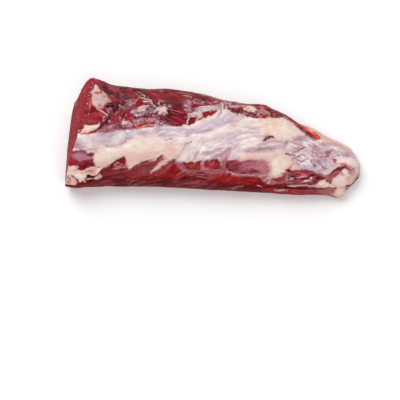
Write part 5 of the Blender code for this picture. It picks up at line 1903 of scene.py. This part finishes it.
class Ribbons:
    """Flat closed ribbons, gathered for one mesh."""

    def __init__(self, skin, thickness):
        self.skin = skin
        self.ground = Ground(skin)
        self.thickness = thickness
        self.points, self.faces, self.colours, self.traits = [], [], [], []

    def add(self, tissue, colour, half, lifts, line, thickness=None):
        """Adds a ribbon along a line in the picture."""
        curve = smooth_curve(line, closed=False)
        places, normals = self.ground.at(curve)
        share = np.linspace(0, 1, len(curve))
        for _ in range(2):
            places[1:-1] = (places[:-2] + 2 * places[1:-1] + places[2:]) / 4
        lift = np.interp(share, (0.0, 0.5, 1.0), lifts) * MM
        middle = places + normals * lift[:, None]
        along = np.gradient(middle, axis=0)
        along /= np.linalg.norm(along, axis=1, keepdims=True)
        side = np.cross(along, normals)
        side /= np.linalg.norm(side, axis=1, keepdims=True)
        up = np.cross(side, along)
        swell = np.sqrt(np.sin(math.pi * mixed(RIBBON_ENDS, 1 - RIBBON_ENDS, share)))
        swell = swell * (1 + layered(middle, (RIBBON_SWELLS,)))
        turns = 2 * math.pi * np.arange(RIBBON_SIDES) / RIBBON_SIDES
        width = (half * MM * swell)[:, None, None] * np.cos(turns)[None, :, None]
        depth = ((thickness or self.thickness) * swell)[:, None, None] * np.sin(turns)[None, :, None]
        rings = middle[:, None] + side[:, None] * width + up[:, None] * depth
        self.close(rings, middle, self.skin.palette[colour], TISSUES[tissue])

    def close(self, rings, middle, colour, traits):
        """Joins the rings to a closed ribbon and gathers it."""
        count = len(rings)
        start = sum(len(points) for points in self.points)
        points = np.vstack([rings.reshape(-1, 3), middle[:1], middle[-1:]])
        first = count * RIBBON_SIDES
        faces = grid_faces(count, RIBBON_SIDES)
        faces += fan_faces(0, RIBBON_SIDES, first, reverse=True)
        faces += fan_faces(first - RIBBON_SIDES, RIBBON_SIDES, first + 1)
        tint = 1 + layered(points, (RIBBON_TINTS,))[:, None]
        self.faces += [[start + k for k in face] for face in faces]
        self.points.append(points)
        self.colours.append(np.clip(colour * tint, 0, BRIGHTEST))
        self.traits.append(np.tile(traits, (len(points), 1)))

    def piece(self, name, material, slot):
        """The ribbons gathered so far, as one mesh."""
        made = new_piece(name, np.vstack(self.points), self.faces, material)
        set_tissue(made.data, np.vstack(self.colours), np.vstack(self.traits))
        return made


# ---------------------------------------------------------------------------------------------
# Materials

BUMP_STRENGTH = 0.5
BUMP_DISTANCE = 0.0005

# All meat
SPECULAR = 0.05
COAT_ROUGHNESS = 0.11
FIBRES_ACROSS = 1100.0
FIBRES_RATIO = 0.10
MOTTLE_SCALE = 420.0
FIBRE_SHADE = (0.8, 0.14)  # what lean adds, and what all tissues have
MOTTLE_SHADE = 0.16
ROUGHNESS = (-0.22, 0.52)  # what wet adds, and what all have
MOTTLE_ROUGHNESS = 0.3
COAT = 0.22
FIBRE_HEIGHT = (0.7, 0.15)
MOTTLE_HEIGHT = 0.35

# The cut end: bundles of fibres with pale seams, and pale dots here and there that are painted glints
CUT_SPECULAR = 0.02
CUT_ROUGHNESS = 0.6
CUT_COAT = 0.03
BUNDLE_SCALE = 480.0
SEAM_WIDTH = 0.12
SEAM_SHARE = 0.13
SEAM_COLOUR = (214, 140, 142)
SEAM_DEPTH = 0.5
GRAIN_SCALE = 700.0
GRAIN_SHADE = (1.06, 0.47)
CLOUD_SCALE = 270.0
CLOUD_SHADE = (1.9, 0.96)
GLINT_DOT_SCALE = 240.0
GLINT_DOT_SPAN = (0.08, 0.28)
GLINT_DOT_SHARE = 0.42
GLINT_DOT_COLOUR = (232, 170, 176)
GLINT_PATCH_SCALE = 130.0
GLINT_PATCH_START = 0.44
GLINT_PATCH_SLOPE = 7.0


def node(tree, kind, **settings):
    """A new node with these settings."""
    made = tree.nodes.new(kind)
    for key, value in settings.items():
        setattr(made, key, value)
    return made


def link(tree, start, end):
    """Joins two sockets."""
    tree.links.new(start, end)


def maths(tree, operation, first, second, clamp=False):
    """A maths node of two values, each a number or a socket."""
    made = node(tree, "ShaderNodeMath", operation=operation, use_clamp=clamp)
    for socket, value in zip(made.inputs, (first, second)):
        if isinstance(value, (int, float)):
            socket.default_value = value
        else:
            link(tree, value, socket)
    return made.outputs[0]


def scaled(tree, value, factor, start):
    """The start, and factor times the value."""
    return maths(tree, "ADD", maths(tree, "MULTIPLY", value, factor), start)


def smooth_range(tree, value, span, first, last):
    """Goes smoothly from first to last while the value goes over the span."""
    made = node(tree, "ShaderNodeMapRange", interpolation_type="SMOOTHSTEP")
    for title, number in (("From Min", span[0]), ("From Max", span[1]), ("To Min", first), ("To Max", last)):
        made.inputs[title].default_value = number
    link(tree, value, made.inputs["Value"])
    return made.outputs[0]


def read(tree, name, kind="Fac"):
    """What a mesh stores under a name for each point."""
    made = node(tree, "ShaderNodeAttribute", attribute_type="GEOMETRY", attribute_name=name)
    return made.outputs[kind]


def mix_colour(tree, share, first, second, blend="MIX"):
    """Two colours mixed, each a colour or a socket."""
    made = node(tree, "ShaderNodeMix", data_type="RGBA", blend_type=blend)
    for socket, value in zip((made.inputs[0], made.inputs[6], made.inputs[7]), (share, first, second)):
        if isinstance(value, (int, float)):
            socket.default_value = value
        elif isinstance(value, np.ndarray):
            socket.default_value = (*value, 1.0)
        else:
            link(tree, value, socket)
    return made.outputs[2]


def shaded(tree, colour, brightness):
    """A colour times a brightness."""
    grey = node(tree, "ShaderNodeCombineColor")
    for socket in grey.inputs[:3]:
        link(tree, brightness, socket)
    return mix_colour(tree, 1.0, colour, grey.outputs[0], "MULTIPLY")


def new_group(name, inputs, outputs):
    """An empty node group. inputs is [(name, kind, default)], outputs is [(name, kind)]."""
    group = bpy.data.node_groups.new(name, "ShaderNodeTree")
    for title, kind, default in inputs:
        socket = group.interface.new_socket(title, in_out="INPUT", socket_type=kind)
        if default is not None:
            socket.default_value = default
    for title, kind in outputs:
        group.interface.new_socket(title, in_out="OUTPUT", socket_type=kind)
    return group, node(group, "NodeGroupInput"), node(group, "NodeGroupOutput")


def fibre_group():
    """Fine fibres along the muscle: a value from 0 to 1."""
    group, start, end = new_group(
        "fibres",
        [("Across", "NodeSocketFloat", 900.0), ("Length ratio", "NodeSocketFloat", 0.12)],
        [("Value", "NodeSocketFloat")],
    )
    place = node(group, "ShaderNodeTexCoord").outputs["Object"]
    split = node(group, "ShaderNodeSeparateXYZ")
    link(group, place, split.inputs[0])
    along = maths(group, "MULTIPLY", split.outputs[0], start.outputs["Length ratio"])
    joined = node(group, "ShaderNodeCombineXYZ")
    for socket, value in zip(joined.inputs, (along, split.outputs[1], split.outputs[2])):
        link(group, value, socket)
    texture = node(group, "ShaderNodeTexNoise", noise_dimensions="3D")
    texture.inputs["Detail"].default_value = 3.0
    texture.inputs["Roughness"].default_value = 0.6
    texture.inputs["Distortion"].default_value = 0.4
    link(group, joined.outputs[0], texture.inputs["Vector"])
    link(group, start.outputs["Across"], texture.inputs["Scale"])
    link(group, texture.outputs["Fac"], end.inputs["Value"])
    return group


def mottle_group():
    """Soft blotches of one size with finer ones in them: a value from 0 to 1."""
    group, start, end = new_group(
        "mottle", [("Scale", "NodeSocketFloat", 300.0)], [("Value", "NodeSocketFloat")]
    )
    place = node(group, "ShaderNodeTexCoord").outputs["Object"]
    texture = node(group, "ShaderNodeTexNoise", noise_dimensions="3D")
    texture.inputs["Detail"].default_value = 4.0
    texture.inputs["Roughness"].default_value = 0.55
    link(group, place, texture.inputs["Vector"])
    link(group, start.outputs["Scale"], texture.inputs["Scale"])
    link(group, texture.outputs["Fac"], end.inputs["Value"])
    return group


def tissue_group():
    """How raw meat looks from what it is: its colour, roughness, gloss and relief."""
    group, start, end = new_group(
        "tissue look",
        [
            ("Colour", "NodeSocketColor", None),
            ("Fat", "NodeSocketFloat", 0.0),
            ("Silverskin", "NodeSocketFloat", 0.0),
            ("Wet", "NodeSocketFloat", 0.5),
        ],
        [
            ("Colour", "NodeSocketColor"),
            ("Roughness", "NodeSocketFloat"),
            ("Coat", "NodeSocketFloat"),
            ("Height", "NodeSocketFloat"),
        ],
    )
    fat, silver, wet = (start.outputs[name] for name in ("Fat", "Silverskin", "Wet"))
    pale = maths(group, "ADD", fat, silver, clamp=True)
    lean = maths(group, "SUBTRACT", 1.0, pale)
    fibres = use_group(group, "fibres", Across=FIBRES_ACROSS, Length_ratio=FIBRES_RATIO)
    mottle = use_group(group, "mottle", Scale=MOTTLE_SCALE)
    fibre_swing = maths(group, "SUBTRACT", fibres, 0.5)
    mottle_swing = maths(group, "SUBTRACT", mottle, 0.5)

    strength = scaled(group, lean, *FIBRE_SHADE)
    swing = scaled(group, fibre_swing, strength, 1.0)
    swing = scaled(group, mottle_swing, MOTTLE_SHADE, swing)
    link(group, shaded(group, start.outputs["Colour"], swing), end.inputs["Colour"])

    rough = scaled(group, wet, *ROUGHNESS)
    rough = scaled(group, mottle_swing, MOTTLE_ROUGHNESS, rough)
    link(group, rough, end.inputs["Roughness"])
    gloss = maths(group, "MULTIPLY", wet, wet)
    link(group, maths(group, "MULTIPLY", gloss, COAT), end.inputs["Coat"])

    height = maths(group, "MULTIPLY", fibres, scaled(group, lean, *FIBRE_HEIGHT))
    height = scaled(group, mottle, MOTTLE_HEIGHT, height)
    link(group, height, end.inputs["Height"])
    return group


GROUP_MAKERS = {"fibres": fibre_group, "mottle": mottle_group, "tissue look": tissue_group}


def group_node(tree, name):
    """A node of the group with this name, which is made when it is first wanted."""
    group = bpy.data.node_groups.get(name) or GROUP_MAKERS[name]()
    return node(tree, "ShaderNodeGroup", node_tree=group)


def use_group(tree, name, **values):
    """What a group gives for these values of its sockets."""
    made = group_node(tree, name)
    for key, value in values.items():
        made.inputs[key.replace("_", " ")].default_value = value
    return made.outputs[0]


def raw_shader(name):
    """A material whose shader has the gloss of raw meat."""
    material = bpy.data.materials.new(name)
    material.use_nodes = True
    tree = material.node_tree
    shader = tree.nodes["Principled BSDF"]
    shader.inputs["Specular IOR Level"].default_value = SPECULAR
    shader.inputs["Coat Roughness"].default_value = COAT_ROUGHNESS
    return material, tree, shader


def add_bump(tree, shader, height):
    """Fine relief that only the light shows."""
    bump = node(tree, "ShaderNodeBump")
    bump.inputs["Strength"].default_value = BUMP_STRENGTH
    bump.inputs["Distance"].default_value = BUMP_DISTANCE
    link(tree, height, bump.inputs["Height"])
    link(tree, bump.outputs[0], shader.inputs["Normal"])


def meat_material(name):
    """Raw meat that looks like the tissue that each point of its mesh says."""
    made = bpy.data.materials.get(name)
    if made:
        return made
    material, tree, shader = raw_shader(name)
    look = group_node(tree, "tissue look")
    link(tree, read(tree, "tissue", "Color"), look.inputs["Colour"])
    for title, attribute in (("Fat", "fat"), ("Silverskin", "silver"), ("Wet", "wet")):
        link(tree, read(tree, attribute), look.inputs[title])
    link(tree, look.outputs["Colour"], shader.inputs["Base Color"])
    link(tree, look.outputs["Roughness"], shader.inputs["Roughness"])
    link(tree, look.outputs["Coat"], shader.inputs["Coat Weight"])
    add_bump(tree, shader, look.outputs["Height"])
    return material


def cell_distance(tree, kind, scale):
    """The distance from a point to the edge or the middle of its cell."""
    made = node(tree, "ShaderNodeTexVoronoi", feature=kind)
    made.inputs["Scale"].default_value = scale
    link(tree, node(tree, "ShaderNodeTexCoord").outputs["Object"], made.inputs["Vector"])
    return made.outputs["Distance"]


def cut_material():
    """Muscle cut across: bundles of fibres end on, with thin pale seams and pale dots of painted glint."""
    material, tree, shader = raw_shader("cut muscle")
    shader.inputs["Roughness"].default_value = CUT_ROUGHNESS
    shader.inputs["Specular IOR Level"].default_value = CUT_SPECULAR
    shader.inputs["Coat Weight"].default_value = CUT_COAT
    specks = use_group(tree, "mottle", Scale=GRAIN_SCALE)
    clouds = maths(tree, "SUBTRACT", use_group(tree, "mottle", Scale=CLOUD_SCALE), 0.5)
    grain = scaled(tree, specks, *GRAIN_SHADE)
    grain = maths(tree, "MULTIPLY", grain, scaled(tree, clouds, *CLOUD_SHADE))
    base = shaded(tree, read(tree, "tissue", "Color"), grain)

    edges = cell_distance(tree, "DISTANCE_TO_EDGE", BUNDLE_SCALE)
    seam = smooth_range(tree, edges, (0.0, SEAM_WIDTH), 1.0, 0.0)
    share = maths(tree, "MULTIPLY", seam, scaled(tree, read(tree, "fat"), -SEAM_SHARE, SEAM_SHARE))
    base = mix_colour(tree, share, base, linear(SEAM_COLOUR))

    # Pale dots in patches: painted glints of the wet cut
    glint_dots = smooth_range(tree, cell_distance(tree, "F1", GLINT_DOT_SCALE), GLINT_DOT_SPAN, GLINT_DOT_SHARE, 0.0)
    patches = maths(tree, "SUBTRACT", use_group(tree, "mottle", Scale=GLINT_PATCH_SCALE), GLINT_PATCH_START)
    patches = maths(tree, "MULTIPLY", patches, GLINT_PATCH_SLOPE, clamp=True)
    base = mix_colour(tree, maths(tree, "MULTIPLY", glint_dots, patches), base, linear(GLINT_DOT_COLOUR))
    link(tree, base, shader.inputs["Base Color"])
    add_bump(tree, shader, scaled(tree, seam, -SEAM_DEPTH, specks))
    return material


# ---------------------------------------------------------------------------------------------
# The cut end

CUT_RINGS = 70
RING_POWER = 1.25  # above 1, the rings come closer together towards the rim
CUT_TINT = (1.12, 0.72, 1.0)  # fresh lean is a deeper red than the outside
RIM_STEP = 0.0016  # the cut face reaches its own surface this far in from the rim
CUT_NOISE = ((0.26, 0.007, 61), (0.14, 0.0025, 62))
CUT_LUMPS_FROM = (0.5, 3.0)  # depths in millimetres between which the lumps begin
CUT_FOOT = (0.004, 0.026)  # the cut end is darker below these heights in metres
RIM_THICKNESS = 0.6  # the pale rim's own, and what fat adds
RIM_FAT = 1.7
RIM_UNEVEN = (0.25, 0.004, 69)
RIM_SPAN = (0.6, 1.5)  # shares of its thickness between which it ends


def cut_end(skin):
    """The cut end from the skin's rim inwards: rings of points, and their depth in millimetres."""
    stations = Stations(*frame_tree())
    rim = skin.raised(skin.under_all)[0, ::MUSCLE_STEP]
    middle = rim.mean(axis=0)
    rings = []
    for k in range(CUT_RINGS):
        share = 1.0 - (k / CUT_RINGS) ** RING_POWER
        ring = middle + (rim - middle) * share
        flat = stations.cut(ring[:, 1], ring[:, 2]) - CUT_MARGIN
        blend = eased(np.linalg.norm(rim - ring, axis=1), 0.0, RIM_STEP)
        ring[:, 0] = mixed(rim[:, 0], flat, blend)
        rings.append(ring)
    grid = np.array(rings)
    depth = np.linalg.norm(grid - rim, axis=-1) / MM
    grid[..., 0] += layered(grid, CUT_NOISE) * MM * eased(depth, *CUT_LUMPS_FROM)
    return grid, depth


def cut_colours(skin, points, depth):
    """The cut end's colour at each point, and how much of it is fat or silverskin."""
    palette = skin.palette
    slow = eased(noise(points, 0.020, 63), -0.5, 0.6)
    fresh = eased(noise(points, 0.011, 64), 0.2, 0.9)
    foot = 1 - eased(points[..., 2], *CUT_FOOT)
    seams = eased(ridged(points, 0.019, 65) + 0.25 * noise(points, 0.006, 66), 0.80, 0.98)
    marble = eased(ridged(points, 0.0075, 67), 0.80, 0.97) * eased(noise(points, 0.016, 68), -0.1, 0.5)
    fat, silver, _, _ = skin.traits.reshape(*skin.shape, -1)[0, ::MUSCLE_STEP].T
    thick = RIM_THICKNESS + RIM_FAT * fat + layered(points[0], (RIM_UNEVEN,))
    pale = np.clip(fat + 0.7 * silver, 0, 1)
    band = pale * (1 - eased(depth, thick * RIM_SPAN[0], thick * RIM_SPAN[1]))
    colour = mixed(palette["cherry_lean"], palette["lean"], slow[..., None]) * CUT_TINT
    for name, share in (
        ("magenta_lean", 0.5 * fresh),
        ("dark_lean", 0.45 * foot),
        ("rose", 0.55 * seams),
        ("pink_fat", 0.65 * marble),
        ("pearl", band),
    ):
        colour = mixed(colour, palette[name], share[..., None])
    return colour, np.clip(band + 0.6 * marble, 0, 1)


# ---------------------------------------------------------------------------------------------
# What the panel shows


def length_value(name, description, default):
    """A length for the panel, in metres."""
    return bpy.props.FloatProperty(
        name=name, description=description, default=default, min=0.0, unit="LENGTH"
    )


def strength_value(name, description, default=1.0):
    """A strength for the panel."""
    return bpy.props.FloatProperty(name=name, description=description, default=default)


def power_value(name, default):
    """A lamp's power for the panel, in watts."""
    description = f"Power of the {name.lower()}"
    return bpy.props.FloatProperty(name=name, description=description, default=default, unit="POWER")


class TenderloinSizes(bpy.types.PropertyGroup):
    """Sizes and strengths of the pieces and the lights"""

    gap: length_value("Gap", "How far each layer stands above the one below", 0.00035)
    sink: length_value("Sunk edge", "How far a layer's edge sinks into the one below", 0.0010)
    fat_depth: length_value("Fat's underside", "How far the fat reaches into the muscle", 0.0018)
    thread_thickness: length_value("Thread thickness", "Half of how thick a thread is", 0.00035)
    shred_thickness: length_value("Shred thickness", "Half of how thick a shred is", 0.00016)
    floor_size: length_value("Floor size", "Width of the white floor", 8.0)
    fat_lumps: strength_value("Fat's lumps", "Strength of the lumps in the fat")
    silver_folds: strength_value("Silverskin's folds", "Strength of the folds in the silverskin")
    lean_fibres: strength_value("Lean's fibres", "Strength of the fibres in the lean")
    tears: strength_value("Tears", "Strength of the relief where the meat is torn", 0.6)
    key_power: power_value("Key light", 25.0)
    fill_power: power_value("Fill light", 12.5)
    back_power: power_value("Back light", 6.0)
    world_light: strength_value("World light", "Strength of the light all around", 0.30)


SIZES = tuple(TenderloinSizes.__annotations__)


def colour_value(name, shown):
    """A tissue's colour for the panel, from how the screen shows it."""
    words = name.replace("_", " ")
    return bpy.props.FloatVectorProperty(
        name=words.capitalize(),
        description=f"Colour of the patches called {words}",
        subtype="COLOR",
        size=3,
        min=0.0,
        max=1.0,
        default=tuple(float(value) for value in linear(shown)),
    )


class TenderloinColours(bpy.types.PropertyGroup):
    """Colours of the tissues"""

    __annotations__ = {name: colour_value(name, shown) for name, shown in PALETTE.items()}


# ---------------------------------------------------------------------------------------------
# The operators


def with_middle(grid):
    """A grid as one row of points, and the middle of its last ring after them."""
    return np.vstack([grid.reshape(-1, grid.shape[-1]), grid[-1].mean(axis=0)])


class TENDERLOIN_OT_muscle(bpy.types.Operator):
    """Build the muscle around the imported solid"""

    bl_idname = "tenderloin.muscle"
    bl_label = "Muscle"

    def execute(self, context):
        skin = current_skin(context)
        grid = skin.raised(skin.under_all)[::MUSCLE_STEP, ::MUSCLE_STEP]
        rows, columns = grid.shape[:2]
        last = (rows - 1) * columns
        material = meat_material("raw lean")
        faces = grid_faces(rows, columns) + fan_faces(last, columns, rows * columns)
        picked = []
        for values in (skin.shade, skin.traits, skin.outer_normals):
            picked.append(with_middle(values.reshape(*skin.shape, -1)[::MUSCLE_STEP, ::MUSCLE_STEP]))
        colour, traits, normals = picked
        piece = new_piece("muscle", with_middle(grid), faces, material, normals)
        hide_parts(NODE)
        set_tissue(piece.data, colour, traits)
        for name, cover in skin.lean_sheets.items():
            layer_piece(skin, name, cover, skin.under_sheets, material, closed=False)
        return {"FINISHED"}


class TENDERLOIN_OT_cut_end(bpy.types.Operator):
    """Build the cut end of the muscle"""

    bl_idname = "tenderloin.cut_end"
    bl_label = "Cut End"

    def execute(self, context):
        skin = current_skin(context)
        grid, depth = cut_end(skin)
        rows, columns = grid.shape[:2]
        faces = grid_faces(rows, columns, reverse=True)
        faces += fan_faces((rows - 1) * columns, columns, rows * columns, reverse=True)
        piece = new_piece("cut_end", with_middle(grid), faces, cut_material())
        colour, band = cut_colours(skin, grid, depth)
        set_values(piece.data, "tissue", with_middle(colour))
        set_values(piece.data, "fat", np.append(band.reshape(-1), 0.0))
        return {"FINISHED"}


class TENDERLOIN_OT_silverskin(bpy.types.Operator):
    """Lay the sheets of silverskin on the muscle"""

    bl_idname = "tenderloin.silverskin"
    bl_label = "Silverskin"

    def execute(self, context):
        skin = current_skin(context)
        material = meat_material("silverskin")
        for name, cover in skin.sheets.items():
            if not cover.any():
                self.report({"ERROR"}, f"{name} covers nothing")
                return {"CANCELLED"}
            layer_piece(skin, name, cover, skin.under_fat, material, closed=False)
        return {"FINISHED"}


class TENDERLOIN_OT_fat(bpy.types.Operator):
    """Lay the pieces of fat on the silverskin"""

    bl_idname = "tenderloin.fat"
    bl_label = "Fat"

    def execute(self, context):
        skin = current_skin(context)
        none = np.zeros(len(skin.points))
        material = meat_material("fat")
        for name, cover in skin.fat.items():
            if not cover.any():
                self.report({"ERROR"}, f"{name} covers nothing")
                return {"CANCELLED"}
            layer_piece(skin, name, cover, none, material, closed=True)
        return {"FINISHED"}


class TENDERLOIN_OT_threads(bpy.types.Operator):
    """Lay threads, shreds and specks of membrane on the skin"""

    bl_idname = "tenderloin.threads"
    bl_label = "Threads and Shreds"

    def execute(self, context):
        skin = current_skin(context)
        material = meat_material("silverskin")
        threads = Ribbons(skin, skin.sizes["thread_thickness"])
        for _, tissue, colour, half, lifts, line in THREADS:
            threads.add(tissue, colour, half, lifts, line)
        for u, v in SPECKS:
            line = ((u - SPECK_HALF, v), (u, v - SPECK_BEND), (u + SPECK_HALF, v))
            threads.add("fat", "ivory", SPECK_HALF, SPECK_LIFTS, line, SPECK_HALF * MM)
        threads.piece("threads", material, "silverskin")

        shreds = Ribbons(skin, skin.sizes["shred_thickness"])
        for _, count, seed, turn, lengths, halves, greatest, kinds, outline in SHREDS:
            dice = np.random.default_rng(seed)
            for kind, line in strewn_lines(dice, count, turn, lengths, SHRED_BEND, kinds, outline):
                tissue, colour, _ = kind
                end = dice.uniform(SHRED_LEAST_LIFT, greatest)
                lifts = (0.0, SHRED_MIDDLE[0] + SHRED_MIDDLE[1] * end, end)
                shreds.add(tissue, colour, dice.uniform(*halves), lifts, line)
        shreds.piece("shreds", material, "silverskin")
        return {"FINISHED"}


class TENDERLOIN_OT_vein(bpy.types.Operator):
    """Lay the blood vessel beside the fat"""

    bl_idname = "tenderloin.vein"
    bl_label = "Vein"

    def execute(self, context):
        skin = current_skin(context)
        veins = Ribbons(skin, VEIN_THICKNESS)
        for _, tissue, colour, half, lifts, line in VEINS:
            veins.add(tissue, colour, half, lifts, line)
        veins.piece("vein", meat_material("blood vessel"), "lean_meat")
        return {"FINISHED"}


# ---------------------------------------------------------------------------------------------
# The stage

# (name, place, size, which power)
LIGHTS = (
    ("key light", (-0.9, 0.6, 1.7), 1.5, "key_power"),
    ("fill light", (0.5, -1.3, 1.3), 1.4, "fill_power"),
    ("back light", (0.5, 1.6, 0.9), 1.0, "back_power"),
)
WHITE = (1.0, 1.0, 1.0, 1.0)
FLOOR_COLOUR = (0.95, 0.95, 0.95, 1.0)
FLOOR_ROUGHNESS = 0.8
FLOOR_DROP = 0.0002
FLOOR_GLOW = 0.12  # the floor's own light, which keeps it white under the part's soft shadow
FAR_GLOW = 0.75  # the same far from the part, where the lamps don't reach
GLOW_SPAN = (0.4, 2.5)


def make_world(tree, strength):
    """White all around: pure white where the camera sees it, and dimmer where it lights the part."""
    background = tree.nodes["Background"]
    background.inputs["Color"].default_value = WHITE
    seen = node(tree, "ShaderNodeLightPath").outputs["Is Camera Ray"]
    link(tree, scaled(tree, seen, 1.0 - strength, strength), background.inputs["Strength"])


def floor_material():
    """White that glows a little by the part and more far from it."""
    material = bpy.data.materials.new("white floor")
    material.use_nodes = True
    tree = material.node_tree
    shader = tree.nodes["Principled BSDF"]
    shader.inputs["Base Color"].default_value = FLOOR_COLOUR
    shader.inputs["Roughness"].default_value = FLOOR_ROUGHNESS
    shader.inputs["Emission Color"].default_value = WHITE
    away = node(tree, "ShaderNodeVectorMath", operation="LENGTH")
    link(tree, node(tree, "ShaderNodeNewGeometry").outputs["Position"], away.inputs[0])
    glow = smooth_range(tree, away.outputs["Value"], GLOW_SPAN, FLOOR_GLOW, FAR_GLOW)
    link(tree, glow, shader.inputs["Emission Strength"])
    return material


def make_floor(size):
    """A flat white square just under the part."""
    half = size / 2
    corners = [(x, y, -FLOOR_DROP) for x, y in ((-half, -half), (half, -half), (half, half), (-half, half))]
    mesh = bpy.data.meshes.new("floor")
    mesh.from_pydata(corners, [], [(0, 1, 2, 3)])
    mesh.materials.append(floor_material())
    floor = bpy.data.objects.new("floor", mesh)
    bpy.context.scene.collection.objects.link(floor)


def area_light(name, place, size, energy):
    """A square lamp that faces the part."""
    light = bpy.data.lights.new(name, "AREA")
    light.size = size
    light.energy = energy
    lamp = bpy.data.objects.new(name, light)
    lamp.location = place
    lamp.rotation_euler = (-Vector(place)).to_track_quat("-Z", "Y").to_euler()
    bpy.context.scene.collection.objects.link(lamp)


def make_camera():
    """The camera of the picture that the patches are drawn in."""
    camera = bpy.data.cameras.new("camera")
    camera.sensor_width = SENSOR_WIDTH
    camera.lens = LENS
    seat = bpy.data.objects.new("camera", camera)
    turn = Matrix((VIEW_RIGHT, VIEW_UP, -VIEW_FORWARD)).transposed().to_4x4()
    seat.matrix_world = Matrix.Translation(VIEW_EYE) @ turn
    bpy.context.scene.collection.objects.link(seat)
    return seat


class TENDERLOIN_OT_stage(bpy.types.Operator):
    """Add the floor, the lights, the world and the camera"""

    bl_idname = "tenderloin.stage"
    bl_label = "Stage"

    def execute(self, context):
        scene = context.scene
        sizes = scene.tenderloin_sizes
        make_floor(sizes.floor_size)
        for name, place, size, power in LIGHTS:
            area_light(name, place, size, getattr(sizes, power))
        world = bpy.data.worlds.new("studio")
        world.use_nodes = True
        make_world(world.node_tree, sizes.world_light)
        scene.world = world
        scene.view_settings.view_transform = "Standard"
        scene.camera = make_camera()
        return {"FINISHED"}


class TENDERLOIN_PT_panel(bpy.types.Panel):
    """Operators, sizes and colours of the tenderloin"""

    bl_idname = "TENDERLOIN_PT_panel"
    bl_label = "Yak Tenderloin"
    bl_space_type = "VIEW_3D"
    bl_region_type = "UI"
    bl_category = "Tenderloin"

    def draw(self, context):
        layout = self.layout
        for operator in OPERATORS:
            layout.operator(operator.bl_idname)
        for group in (context.scene.tenderloin_sizes, context.scene.tenderloin_colours):
            box = layout.box()
            for name in type(group).__annotations__:
                box.prop(group, name)


OPERATORS = (
    TENDERLOIN_OT_muscle,
    TENDERLOIN_OT_cut_end,
    TENDERLOIN_OT_silverskin,
    TENDERLOIN_OT_fat,
    TENDERLOIN_OT_threads,
    TENDERLOIN_OT_vein,
    TENDERLOIN_OT_stage,
)
CLASSES = (TenderloinSizes, TenderloinColours, *OPERATORS, TENDERLOIN_PT_panel)


def register():
    """Adds the operators, the panel and what the panel shows."""
    for cls in CLASSES:
        bpy.utils.register_class(cls)
    bpy.types.Scene.tenderloin_sizes = bpy.props.PointerProperty(type=TenderloinSizes)
    bpy.types.Scene.tenderloin_colours = bpy.props.PointerProperty(type=TenderloinColours)


def unregister():
    """Takes away what register adds."""
    del bpy.types.Scene.tenderloin_colours
    del bpy.types.Scene.tenderloin_sizes
    for cls in reversed(CLASSES):
        bpy.utils.unregister_class(cls)


def main():
    """Builds every piece and the stage."""
    register()
    bpy.ops.tenderloin.muscle()
    bpy.ops.tenderloin.cut_end()
    bpy.ops.tenderloin.silverskin()
    bpy.ops.tenderloin.fat()
    bpy.ops.tenderloin.threads()
    bpy.ops.tenderloin.vein()
    bpy.ops.tenderloin.stage()


if __name__ == "__main__":
    main()
